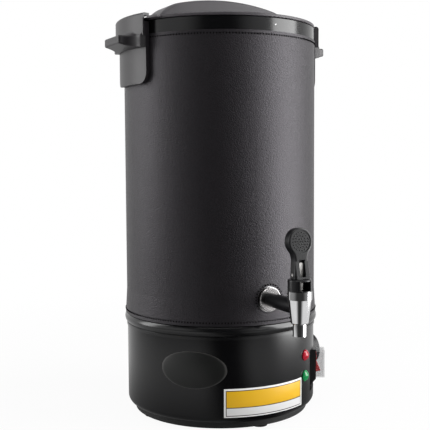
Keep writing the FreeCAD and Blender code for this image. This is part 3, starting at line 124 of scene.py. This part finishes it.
class Signal:
    """A value that changes over a surface. Arithmetic on it adds Math nodes."""

    def __init__(self, finish, socket):
        self.finish = finish
        self.socket = socket

    def math(self, operation, *others):
        values = dict(enumerate((self, *others)))
        return self.finish.node("ShaderNodeMath", {"operation": operation}, values)

    def reflected(self, operation, other):
        return self.finish.node(
            "ShaderNodeMath", {"operation": operation}, {0: other, 1: self})

    def __add__(self, other):
        return self.math("ADD", other)

    __radd__ = __add__

    def __sub__(self, other):
        return self.math("SUBTRACT", other)

    def __rsub__(self, other):
        return self.reflected("SUBTRACT", other)

    def __mul__(self, other):
        return self.math("MULTIPLY", other)

    __rmul__ = __mul__

    def __truediv__(self, other):
        return self.math("DIVIDE", other)

    def __abs__(self):
        return self.math("ABSOLUTE")

    def either(self, other):
        return self.math("MAXIMUM", other)

    def step(self, low, high):
        """0 up to low, 1 from high on and smooth between."""
        return self.finish.node(
            "ShaderNodeMapRange", {"interpolation_type": "SMOOTHSTEP"},
            {"Value": self, "From Min": low, "From Max": high})


class Finish:
    """The nodes of one material, or of the world."""

    def __init__(self, owner, output="ShaderNodeOutputMaterial"):
        self.owner = owner
        owner.use_nodes = True
        self.tree = owner.node_tree
        self.tree.nodes.clear()
        self.output = self.node(output, out=None)

    def node(self, kind, settings=None, values=None, out=0):
        """Adds a node, gives it its settings and then its values or links. Returns one
        of its outputs, or the node itself where out is None."""
        made = self.tree.nodes.new(kind)
        for key, value in (settings or {}).items():
            setattr(made, key, value)
        for key, value in (values or {}).items():
            socket = made.inputs[key]
            if isinstance(value, Signal):
                self.tree.links.new(value.socket, socket)
            elif socket.type == "RGBA":
                socket.default_value = (*value, 1.0)
            else:
                socket.default_value = value
        return made if out is None else Signal(self, made.outputs[out])

    def place(self):
        return self.node("ShaderNodeTexCoord", out="Object")

    def xyz(self):
        """The three coordinates of the place on the object."""
        parts = self.node("ShaderNodeSeparateXYZ", None, {0: self.place()}, out=None)
        return [Signal(self, socket) for socket in parts.outputs]

    def noise(self, scale, detail=2.0, roughness=0.5, stretch=(1.0, 1.0, 1.0)):
        place = self.node(
            "ShaderNodeMapping", None, {"Vector": self.place(), "Scale": stretch})
        return self.node("ShaderNodeTexNoise", None, {
            "Vector": place, "Scale": scale, "Detail": detail, "Roughness": roughness})

    def cells(self, scale):
        """Distance from the nearest of many scattered points: rounded pebbles."""
        return self.node(
            "ShaderNodeTexVoronoi", None, {"Vector": self.place(), "Scale": scale})

    def blend(self, amount, first, second):
        """A colour between two, by a changing amount."""
        return self.node(
            "ShaderNodeMix", {"data_type": "RGBA"}, {0: amount, 6: first, 7: second}, out=2)

    def relief(self, height, depth, strength=1.0):
        return self.node("ShaderNodeBump", None, {
            "Height": height, "Distance": depth, "Strength": strength})

    def show(self, shader):
        self.tree.links.new(shader.socket, self.output.inputs["Surface"])
        return self.owner

    def surface(self, colour, roughness, **rest):
        values = {"Base Color": colour, "Roughness": roughness}
        values.update({key.replace("_", " "): value for key, value in rest.items()})
        return self.show(self.node("ShaderNodeBsdfPrincipled", None, values))


def new_finish(name):
    return Finish(bpy.data.materials.new(name))


def mottled(finish, shade, amount):
    """A colour with the faint unevenness of a real surface."""
    low = tuple(value * (1 - amount) for value in shade)
    high = tuple(value * (1 + amount) for value in shade)
    return finish.blend(finish.noise(28.0, 3.0).step(0.3, 0.7), low, high)


def leather_finish():
    """Fine pebbled leather, pulled in along its three rows of stitches."""
    finish = new_finish("black_leather")
    x, y, z = finish.xyz()
    pebbles = finish.cells(850.0)
    pores = finish.cells(1600.0)
    folds = finish.noise(90.0, 4.0)
    grain = pebbles * 0.8 + pores * 0.5 + folds * 0.12
    to_row = abs(z - LOW_SEAM).math("MINIMUM", abs(z - TOP_SEAM))
    beside_ring = (x * x + (z - TAP_HEIGHT) * (z - TAP_HEIGHT)).math("SQRT")
    behind = y.step(-90.0 * MM, -50.0 * MM)
    to_ring = abs(beside_ring - (TAP_RING_RADIUS + RING_SEAM_GAP)) + behind
    pulled = to_row.math("MINIMUM", to_ring).step(PULL_NEAR, PULL_FAR)
    crown, valley = (0.0115, 0.0095, 0.0115), (0.0035, 0.0028, 0.0036)
    return finish.surface(
        finish.blend(grain.step(0.3, 1.0), crown, valley),
        0.36 + grain * 0.12,
        Specular_IOR_Level=0.46,
        Specular_Tint=(0.97, 0.925, 1.0),
        Normal=finish.relief(pulled * 0.4 - grain, GRAIN_DEPTH))


def painted_finish(name, shade, rough, specular=0.4):
    """Paint or smooth plastic with the faint ripple of its skin."""
    finish = new_finish(name)
    smear = finish.noise(22.0, 4.0)
    return finish.surface(
        mottled(finish, shade, 0.12),
        rough * 0.85 + smear * rough * 0.3,
        Specular_IOR_Level=specular,
        Normal=finish.relief(finish.noise(420.0), 0.03 * MM, 0.4))


def moulded_finish(name, shade, rough=0.42, grain=900.0, depth=0.06 * MM, specular=0.4):
    """Plastic or rubber with the fine grain of its mould."""
    finish = new_finish(name)
    sparkle = finish.noise(grain, 3.0, 0.6)
    return finish.surface(
        mottled(finish, shade, 0.1),
        rough - 0.06 + sparkle * 0.12,
        Specular_IOR_Level=specular,
        Normal=finish.relief(sparkle, depth, 0.6))


def metal_finish(name, shade, rough, stretch=(1.0, 1.0, 1.0), depth=0.01 * MM):
    """Metal with fine lines, which a stretch draws out along one axis."""
    finish = new_finish(name)
    lines = finish.noise(700.0, 3.0, 0.6, stretch)
    return finish.surface(
        mottled(finish, shade, 0.05),
        rough * 0.8 + lines * rough * 0.4,
        Metallic=1.0,
        Normal=finish.relief(lines, depth, 0.4))


def lens_finish(name, deep, bright):
    """A coloured lamp lens with fine facets behind its dome."""
    finish = new_finish(name)
    facets = finish.cells(900.0)
    return finish.surface(
        finish.blend(facets.step(0.1, 0.6), bright, deep),
        0.12 + facets * 0.05,
        Specular_IOR_Level=0.5,
        Coat_Weight=0.15,
        Coat_Roughness=0.04)


def clear_finish():
    """Soft clear plastic, a little smoky where two walls overlap."""
    finish = new_finish("clear_hood")
    haze = finish.noise(60.0, 3.0)
    return finish.surface(
        mottled(finish, (0.10, 0.10, 0.11), 0.1),
        0.08 + haze * 0.08,
        Alpha=0.17 + haze * 0.08,
        Specular_IOR_Level=0.5)


def sticker_finish():
    """Two bare fields, amber over white, in a dark line and a pale border."""
    finish = new_finish("blank_sticker")
    x, y, z = finish.xyz()
    along = x.math("ARCTAN2", 0 - y) * DRUM_RADIUS
    middle = (STICKER_LOW + STICKER_TOP) / 2
    edge = (STICKER_WIDE / 2 - abs(along)).math(
        "MINIMUM", (STICKER_TOP - STICKER_LOW) / 2 - abs(z - middle))

    def past(distance, limit):
        return distance.step(limit - INK_SPREAD, limit + INK_SPREAD)

    inside = past(edge, STICKER_BORDER)
    field = past(edge, STICKER_BORDER + STICKER_LINE)
    parting = past(abs(z - STICKER_PARTING), STICKER_LINE / 2)
    upper = past(z, STICKER_PARTING)
    border, line = (0.72, 0.72, 0.72), (0.03, 0.025, 0.02)
    white, amber = (0.62, 0.62, 0.62), (0.64, 0.36, 0.002)
    ink = finish.blend(upper, white, amber)
    framed = finish.blend(field * parting, line, ink)
    return finish.surface(
        finish.blend(inside, border, framed),
        0.32 + finish.noise(60.0) * 0.1,
        Specular_IOR_Level=0.4)


def oval_finish():
    """Satin black, with a paler rim painted on as a highlight where the plate's edge catches
    light.
    """
    finish = new_finish("satin_black_plate")
    x, y, z = finish.xyz()
    along = (x.math("ARCTAN2", 0 - y) - OVAL_TURN) * (DRUM_RADIUS / OVAL_WIDE)
    rise = (z - OVAL_HEIGHT) / OVAL_TALL
    # The paler rim is a painted highlight, standing for the light that the plate's bevelled
    # edge catches.
    rim = (along * along + rise * rise).math("SQRT").step(0.94, 0.975)
    grain = finish.noise(1200.0, 3.0)
    plate, painted_rim_highlight = (0.0065, 0.007, 0.0065), (0.035, 0.034, 0.033)
    return finish.surface(
        finish.blend(rim, plate, painted_rim_highlight),
        0.36 + grain * 0.1,
        Specular_IOR_Level=0.4,
        Normal=finish.relief(grain, 0.02 * MM, 0.6))


LEATHER = leather_finish()
DRUM_PAINT = painted_finish("satin_black_paint", (0.002, 0.002, 0.0025), 0.19, 0.42)
BEAD_GLOSS = painted_finish("gloss_black_bead", (0.004, 0.004, 0.0045), 0.22, 0.5)
COLLAR_GLOSS = painted_finish("gloss_black_enamel", (0.003, 0.003, 0.0035), 0.18, 0.45)
LID_BLACK = painted_finish("black_lid", (0.050, 0.045, 0.051), 0.46, 0.45)
HANDLE_BLACK = moulded_finish("black_handle", (0.016, 0.0140, 0.0165), 0.42, specular=0.46)
TAP_BLACK = moulded_finish("black_tap", (0.007, 0.007, 0.008), 0.30, specular=0.34)
KNOB_BLACK = moulded_finish("black_knob", (0.014, 0.014, 0.015), 0.42)
SWITCH_BLACK = moulded_finish("black_switch", (0.008, 0.008, 0.009), 0.38)
PAN_BLACK = moulded_finish("black_pan", (0.012, 0.012, 0.012), 0.55)
RUBBER = moulded_finish("black_rubber", (0.014, 0.014, 0.014), 0.7, 500.0, 0.1 * MM, 0.25)
SILICONE = moulded_finish("dark_silicone", (0.050, 0.050, 0.052), 0.5, 600.0)
DARK_MOULDING = moulded_finish("dark_moulding", (0.040, 0.040, 0.040), 0.5)
THREAD = moulded_finish("black_thread", (0.002, 0.002, 0.002), 0.9, 3000.0, 0.05 * MM, 0.0)
BLANK_OVAL = oval_finish()
MARK_WHITE = painted_finish("white_mark", (0.80, 0.80, 0.80), 0.4)
CHROME = metal_finish("chrome", (0.80, 0.80, 0.81), 0.08)
RING_STEEL = metal_finish("turned_steel", (0.58, 0.56, 0.56), 0.20, depth=0.05 * MM)
ZINC = metal_finish("zinc_plate", (0.55, 0.55, 0.53), 0.32)
STEEL = metal_finish("brushed_steel", (0.62, 0.62, 0.62), 0.26, (1.0, 1.0, 0.04), 0.03 * MM)
CAST_ALUMINIUM = metal_finish("cast_aluminium", (0.68, 0.68, 0.69), 0.5, depth=0.1 * MM)
DULL_STEEL = metal_finish("dull_tube", (0.38, 0.37, 0.36), 0.5)
BRASS = metal_finish("brass", (0.72, 0.58, 0.34), 0.22)
LENS_RED = lens_finish("red_lens", (0.30, 0.002, 0.012), (0.52, 0.008, 0.030))
LENS_GREEN = lens_finish("green_lens", (0.0, 0.17, 0.045), (0.0, 0.34, 0.09))
ROCKER_RED = painted_finish("red_rocker", (0.86, 0.018, 0.014), 0.22, 0.5)
CLEAR = clear_finish()
WOOL = moulded_finish("mineral_wool", (0.62, 0.58, 0.45), 0.9, 200.0, 0.8 * MM)
STICKER = sticker_finish()

DRESS = {
    "feet": RUBBER, "foot_screws": ZINC, "foot_nuts": ZINC, "base_pan": PAN_BLACK,
    "base_drum": DRUM_PAINT, "shoulder_ring": BEAD_GLOSS, "outer_sleeve": STEEL,
    "insulation": WOOL, "leather_jacket": LEATHER, "inner_pot": STEEL,
    "rim_collar": COLLAR_GLOSS, "lid_seal": SILICONE, "lid": LID_BLACK,
    "handle_left": HANDLE_BLACK, "handle_right": HANDLE_BLACK, "handle_screws": ZINC,
    "heating_plate": CAST_ALUMINIUM, "heating_element": DULL_STEEL,
    "element_clamp": DULL_STEEL, "heater_stud": ZINC, "heater_nut": ZINC,
    "thermal_cutout": DARK_MOULDING, "thermostat": DARK_MOULDING, "thermostat_nut": ZINC,
    "knob_shaft": ZINC, "knob": KNOB_BLACK, "lens_red": LENS_RED, "lens_green": LENS_GREEN,
    "lamp_red": DARK_MOULDING, "lamp_green": DARK_MOULDING, "switch_frame": SWITCH_BLACK,
    "switch_body": DARK_MOULDING, "switch_rocker": ROCKER_RED, "switch_hood": CLEAR,
    "power_inlet": SWITCH_BLACK, "inlet_pins": BRASS, "inlet_screws": ZINC,
    "tap_body": CHROME, "tap_cover": TAP_BLACK, "tap_ring": RING_STEEL, "tap_spacer": ZINC,
    "tap_washer": SILICONE, "tap_lock_nut": CHROME, "tap_bonnet": TAP_BLACK,
    "tap_seat": SILICONE, "tap_stem": DULL_STEEL, "tap_pin": DULL_STEEL, "tap_spring": ZINC,
    "tap_lever": TAP_BLACK,
}
for name, material in DRESS.items():
    surface = nodes[name].data.materials
    surface.clear()
    surface.append(material)


# ------------------------------------------------------------------ making pieces


def only(piece):
    """Selects one piece and nothing else."""
    bpy.ops.object.select_all(action="DESELECT")
    piece.select_set(True)
    bpy.context.view_layer.objects.active = piece


def start(primitive, **sizes):
    """Adds a primitive with its turn and scale already in its mesh."""
    bpy.ops.object.select_all(action="DESELECT")
    primitive(**sizes)
    bpy.ops.object.transform_apply(location=False, rotation=True, scale=True)
    return bpy.context.object


def choose(piece, test):
    """Goes into edit mode with the faces selected whose centre and normal pass the test."""
    bpy.ops.object.mode_set(mode="OBJECT")
    mesh = piece.data
    for parts in (mesh.vertices, mesh.edges, mesh.polygons):
        parts.foreach_set("select", [False] * len(parts))
    for face in mesh.polygons:
        face.select = test(face.center, face.normal)
    bpy.ops.object.mode_set(mode="EDIT")
    bpy.ops.mesh.select_mode(type="FACE")


def apply(piece, kind, **settings):
    """Adds a modifier with its settings and applies it."""
    modifier = piece.modifiers.new(kind.lower(), kind)
    for key, value in settings.items():
        setattr(modifier, key, value)
    only(piece)
    bpy.ops.object.modifier_apply(modifier=modifier.name)


def copies(pattern, places):
    """One mesh of a piece repeated at each of the places. The pattern itself goes."""
    made = []
    for place in places:
        twin = pattern.copy()
        twin.data = pattern.data.copy()
        bpy.context.collection.objects.link(twin)
        twin.matrix_world = place
        made.append(twin)
    bpy.data.objects.remove(pattern)
    only(made[0])
    for twin in made:
        twin.select_set(True)
    bpy.ops.object.join()
    return bpy.context.object


def hand_over(piece, name, material, body="urn"):
    """Names and finishes a piece, puts its place in its mesh and gives it to its body."""
    only(piece)
    bpy.ops.object.transform_apply(location=True, rotation=True, scale=True)
    bpy.ops.object.shade_smooth_by_angle(angle=SMOOTH_ANGLE)
    piece.name = name
    piece.data.name = name
    piece.data.materials.clear()
    piece.data.materials.append(material)
    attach(piece, body)
    return piece


def facing(phi, radius, height):
    """The place on a round wall at a direction and height, with -Y turned outwards."""
    return Matrix.Rotation(phi, 4, "Z") @ Matrix.Translation((0.0, -radius, height))


# ------------------------------------------------------------------ stitching


def one_stitch():
    """A stitch along X, proud of the leather towards -Y, with both ends dipping into it."""
    stitch = start(
        bpy.ops.mesh.primitive_cylinder_add, vertices=6, radius=THREAD_RADIUS,
        depth=STITCH_PITCH * STITCH_FLAT, rotation=(0.0, math.pi / 2, 0.0))
    for side in (-1, 1):
        choose(stitch, lambda centre, normal: normal.x * side > 0.9)
        bpy.ops.mesh.extrude_region_move(TRANSFORM_OT_translate={
            "value": (side * STITCH_PITCH * STITCH_DIP, THREAD_RADIUS, 0.0)})
        bpy.ops.mesh.merge(type="CENTER")
    bpy.ops.object.mode_set(mode="OBJECT")
    return stitch


def leather_radius(height):
    """The leather's outside, which flares a little towards its lower edge."""
    reach = max(0.0, 1.0 - (height - LEATHER_LOW) / FLARE_HEIGHT)
    return LEATHER_RADIUS + LEATHER_FLARE * reach * reach


def sew_row(name, height):
    """Stitches all round the leather at one height."""
    radius = leather_radius(height)
    count = round(math.tau * radius / STITCH_PITCH)
    row = copies(one_stitch(), [
        facing(math.tau * number / count, radius, height) for number in range(count)])
    return hand_over(row, name, THREAD)


def sew_ring(name):
    """Stitches round the tap's ring, lying on the curve of the leather."""
    reach = TAP_RING_RADIUS + RING_SEAM_GAP
    count = round(math.tau * reach / STITCH_PITCH)
    places = []
    for number in range(count):
        turn = math.tau * number / count
        aside = math.asin(reach * math.cos(turn) / LEATHER_RADIUS)
        level = TAP_HEIGHT + reach * math.sin(turn)
        places.append(
            facing(aside, LEATHER_RADIUS, level) @ Matrix.Rotation(math.pi / 2 - turn, 4, "Y"))
    return hand_over(copies(one_stitch(), places), name, THREAD)


sew_row("stitch_row_low", LOW_SEAM)
sew_row("stitch_row_top", TOP_SEAM)
sew_ring("stitch_ring")


# ------------------------------------------------------------------ plates on the drum


def bent_plate(outline, proud, edge):
    """A thin plate bent round the drum, cut to a prism that crosses the wall."""
    plate = start(
        bpy.ops.mesh.primitive_cylinder_add, vertices=256, radius=DRUM_RADIUS - PLATE_SINK,
        depth=BAND_TALL, location=(0.0, 0.0, BAND_MIDDLE), end_fill_type="NOTHING")
    apply(plate, "SOLIDIFY", thickness=proud + PLATE_SINK, offset=1.0)
    apply(plate, "BOOLEAN", operation="INTERSECT", object=outline, solver="EXACT")
    bpy.data.objects.remove(outline)
    apply(plate, "BEVEL", width=edge, segments=2, limit_method="ANGLE",
          angle_limit=math.radians(50))
    return plate


def lay_sticker():
    """The blank sticker under the tap."""
    chord = 2 * DRUM_RADIUS * math.sin(STICKER_WIDE / 2 / DRUM_RADIUS)
    outline = start(
        bpy.ops.mesh.primitive_cube_add, size=1.0,
        scale=(chord, CUTTER_DEEP, STICKER_TOP - STICKER_LOW),
        location=(0.0, -DRUM_RADIUS, (STICKER_TOP + STICKER_LOW) / 2))
    sticker = bent_plate(outline, STICKER_THICK, STICKER_EDGE)
    return hand_over(sticker, "blank_sticker", STICKER)


def lay_oval():
    """The bare raised oval on the drum's left."""
    outline = start(
        bpy.ops.mesh.primitive_cylinder_add, vertices=96, radius=1.0, depth=CUTTER_DEEP,
        rotation=(math.pi / 2, 0.0, 0.0))
    outline.matrix_world = (facing(OVAL_TURN, DRUM_RADIUS, OVAL_HEIGHT)
                            @ Matrix.Diagonal((OVAL_WIDE, 1.0, OVAL_TALL, 1.0)))
    plate = bent_plate(outline, OVAL_PROUD, OVAL_EDGE)
    return hand_over(plate, "blank_oval", BLANK_OVAL)


lay_sticker()
lay_oval()


# ------------------------------------------------------------------ small marks


def index_dot():
    """The white dot on the collar that the lid is turned to."""
    dot = start(
        bpy.ops.mesh.primitive_cylinder_add, vertices=24, radius=DOT_RADIUS, depth=DOT_THICK,
        rotation=(math.pi / 2, 0.0, 0.0))
    apply(dot, "BEVEL", width=DOT_EDGE, segments=2, limit_method="ANGLE",
          angle_limit=math.radians(40))
    dot.matrix_world = facing(
        DOT_TURN, COLLAR_RADIUS, COLLAR_LOW + (COLLAR_TOP - COLLAR_LOW) * DOT_LEVEL)
    return hand_over(dot, "index_dot", MARK_WHITE)


def pad_dots():
    """Raised dots in rings on the lever's thumb pad."""
    pad = (Matrix.Translation(PIN_PLACE) @ Matrix.Rotation(-LEVER_LEAN, 4, "X")
           @ Matrix.Translation((0.0, -PAD_FLOOR, PAD_LEVEL)))
    dot = start(
        bpy.ops.mesh.primitive_uv_sphere_add, segments=10, ring_count=6, radius=PAD_DOT_RADIUS)
    places = [pad]
    for ring in range(1, PAD_DOT_RINGS + 1):
        for number in range(6 * ring):
            turn = Matrix.Rotation(math.tau * number / (6 * ring), 4, "Y")
            places.append(pad @ turn @ Matrix.Translation((ring * PAD_DOT_STEP, 0.0, 0.0)))
    return hand_over(copies(dot, places), "pad_dots", TAP_BLACK, "tap_lever")


index_dot()
pad_dots()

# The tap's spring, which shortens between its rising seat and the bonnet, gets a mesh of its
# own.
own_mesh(nodes["tap_spring"])


# ------------------------------------------------------------------ camera, light and floor

# The camera's place in metres, its turns in radians and its focal length as a share of
# the sensor's width
VIEW_TURN = math.radians(28.0)
EYE = Vector((-0.4660, -0.8636, 0.2991))
PITCH = 0.0699
ROLL = 0.00564
SENSOR_WIDTH = 36.0
FOCAL_SHARE = 1.9068837

# Level directions to the camera's right and away from it
SIDEWAYS = Vector((math.cos(VIEW_TURN), -math.sin(VIEW_TURN), 0.0))
FORWARD = Vector((math.sin(VIEW_TURN), math.cos(VIEW_TURN), 0.0))

# Height that the lights are aimed at
AIM_HEIGHT = 0.24

# The room, as shares of white. Each edge is a pair of values between which one zone fades
# into the next. Those of the room are shares of a direction: aside for the walls, up for
# their top and ahead for the backdrop.
ROOM_LIGHT = 0.03
WALL_LIGHT = 0.75
WALL_EDGE = (0.25, 0.75)
WALL_TOP_EDGE = (0.35, 0.7)
BACKDROP_EDGE = (0.3, 0.8)

# The floor to the eye: this share of white, and all white past the edge
FLOOR_WHITE = 0.94
FLOOR_EDGE = (0.25, 0.9)

# The floor as gloss mirrors it, in metres from the urn: shade at the foot, a painted darker
# zone further out, pale past the urn, and a painted glow that stands in for the right box's
# reflection
FLOOR_ASIDE = 0.05
FOOT_SHADE = 0.72
FOOT_EDGE = (0.12, 0.40)
PAINTED_DARK_SHARE = 0.7
DARK_ZONE_START = (0.5, 0.7)
DARK_ZONE_END = (1.4, 1.6)
PAST_EDGE = (-0.1, 0.3)
PAINTED_BOX_GLOW = 13.5
GLARE_START = (0.45, 0.6)
GLARE_END = (1.1, 1.3)
GLARE_AHEAD = -0.08
GLARE_BREADTH = (0.05, 0.35)

# The pale floor beside the urn starts at these shares of sideways distance, plus the second
# pair further out
BESIDE_EDGE = (0.12, 0.5)
BESIDE_EDGE_ADDED = (0.25, 0.45)


def place_camera():
    """A camera before the urn and to its left, tipped slightly down."""
    ahead = FORWARD * math.cos(PITCH) - Vector((0.0, 0.0, math.sin(PITCH)))
    upright = SIDEWAYS.cross(ahead)
    right = SIDEWAYS * math.cos(ROLL) - upright * math.sin(ROLL)
    up = upright * math.cos(ROLL) + SIDEWAYS * math.sin(ROLL)
    data = bpy.data.cameras.new("camera")
    data.sensor_width = SENSOR_WIDTH
    data.lens = SENSOR_WIDTH * FOCAL_SHARE
    camera = bpy.data.objects.new("camera", data)
    bpy.context.collection.objects.link(camera)
    turn = Matrix((right, up, -ahead)).transposed().to_4x4()
    camera.matrix_world = Matrix.Translation(EYE) @ turn
    bpy.context.scene.camera = camera


def softbox(name, aside, ahead, height, width, tall, power):
    """An area light placed by the camera's own sideways and forward directions, aimed
    at the middle of the urn."""
    data = bpy.data.lights.new(name, "AREA")
    data.shape = "RECTANGLE"
    data.size = width
    data.size_y = tall
    data.energy = power
    lamp = bpy.data.objects.new(name, data)
    bpy.context.collection.objects.link(lamp)
    lamp.location = SIDEWAYS * aside + FORWARD * ahead + Vector((0.0, 0.0, height))
    aim = Vector((0.0, 0.0, AIM_HEIGHT)) - lamp.location
    lamp.rotation_mode = "QUATERNION"
    lamp.rotation_quaternion = aim.to_track_quat("-Z", "Y")


def rays(finish, *kinds):
    """1 for the named kinds of ray and 0 for the others."""
    shares = [finish.node("ShaderNodeLightPath", out=f"Is {kind} Ray") for kind in kinds]
    total = shares[0]
    for share in shares[1:]:
        total = total.either(share)
    return total


def light_world():
    """A dim room with pale walls on both sides. The backdrop is white to the camera,
    through clear plastic and, behind the urn, in its gloss."""
    sky = Finish(bpy.data.worlds.new("studio"), "ShaderNodeOutputWorld")
    bpy.context.scene.world = sky.owner
    direction = sky.node("ShaderNodeTexCoord", out="Generated")
    aside, ahead, up = [
        sky.node("ShaderNodeVectorMath", {"operation": "DOT_PRODUCT"},
                 {0: direction, 1: axis}, out="Value")
        for axis in (SIDEWAYS, FORWARD, Vector((0.0, 0.0, 1.0)))]
    walls = abs(aside).step(*WALL_EDGE) * (1 - up.step(*WALL_TOP_EDGE))
    plain = sky.node("ShaderNodeBackground", None, {
        "Color": (1.0, 1.0, 1.0), "Strength": walls * WALL_LIGHT + ROOM_LIGHT})
    white = sky.node("ShaderNodeBackground", None, {"Color": (1.0, 1.0, 1.0), "Strength": 1.0})
    seen = rays(sky, "Camera", "Transmission").either(
        rays(sky, "Glossy") * ahead.step(*BACKDROP_EDGE))
    sky.show(sky.node("ShaderNodeMixShader", None, {0: seen, 1: plain, 2: white}))


def lay_floor():
    """A pale floor that keeps the urn's shadow and runs out into the white backdrop. In
    gloss it shows a painted reflection: dark before the urn, as pale as the walls beside it,
    darker further out and with a painted glow where the right box would be mirrored."""
    floor = start(bpy.ops.mesh.primitive_plane_add, size=12.0)
    floor.name = "floor"
    ground = new_finish("pale_floor")
    x, y = ground.xyz()[:2]
    away = (x * x + y * y).math("SQRT").step(*FLOOR_EDGE)
    aside = x * SIDEWAYS.x + y * SIDEWAYS.y - FLOOR_ASIDE
    ahead = x * FORWARD.x + y * FORWARD.y
    reach = (aside * aside + ahead * ahead).math("SQRT")
    far = reach.step(*DARK_ZONE_START)
    start_share, full_share = [
        far * added + edge for edge, added in zip(BESIDE_EDGE, BESIDE_EDGE_ADDED)]
    beside = (abs(aside) / reach).step(start_share, full_share)
    # A painted darker zone in the floor's reflection, further out from the urn.
    painted_dark = far * (1 - reach.step(*DARK_ZONE_END)) * PAINTED_DARK_SHARE
    foot = (1 - reach.step(*FOOT_EDGE)) * FOOT_SHADE
    pale = (beside * (1 - painted_dark) * (1 - foot)).either(ahead.step(*PAST_EDGE))
    # A painted glow, seen only in gloss, that stands in for the right box's reflection.
    painted_glow = aside.step(*GLARE_START) * (1 - aside.step(*GLARE_END))
    painted_glow = painted_glow * (1 - abs(ahead - GLARE_AHEAD).step(*GLARE_BREADTH)) * PAINTED_BOX_GLOW
    gloss = rays(ground, "Glossy")
    matt = ground.node("ShaderNodeBsdfDiffuse", None, {"Color": (0.8, 0.8, 0.8)})
    white = ground.node("ShaderNodeEmission", None, {"Strength": 1.0})
    mirrored = ground.node(
        "ShaderNodeEmission", None, {"Strength": pale * WALL_LIGHT + painted_glow + ROOM_LIGHT})
    share = rays(ground, "Camera", "Transmission") * (FLOOR_WHITE + away * (1 - FLOOR_WHITE))
    lit = ground.node("ShaderNodeMixShader", None, {0: share, 1: matt, 2: white})
    floor.data.materials.append(
        ground.show(ground.node("ShaderNodeMixShader", None, {0: gloss, 1: lit, 2: mirrored})))


place_camera()
softbox("left_box", aside=-1.25, ahead=0.05, height=0.50, width=0.5, tall=1.6, power=11.0)
softbox("right_box", aside=1.23, ahead=-0.20, height=0.50, width=0.8, tall=1.7, power=32.0)
softbox("top_box", aside=0.0, ahead=-0.5, height=1.7, width=1.2, tall=0.8, power=12.0)
light_world()
lay_floor()

bpy.context.scene.view_settings.view_transform = "Standard"
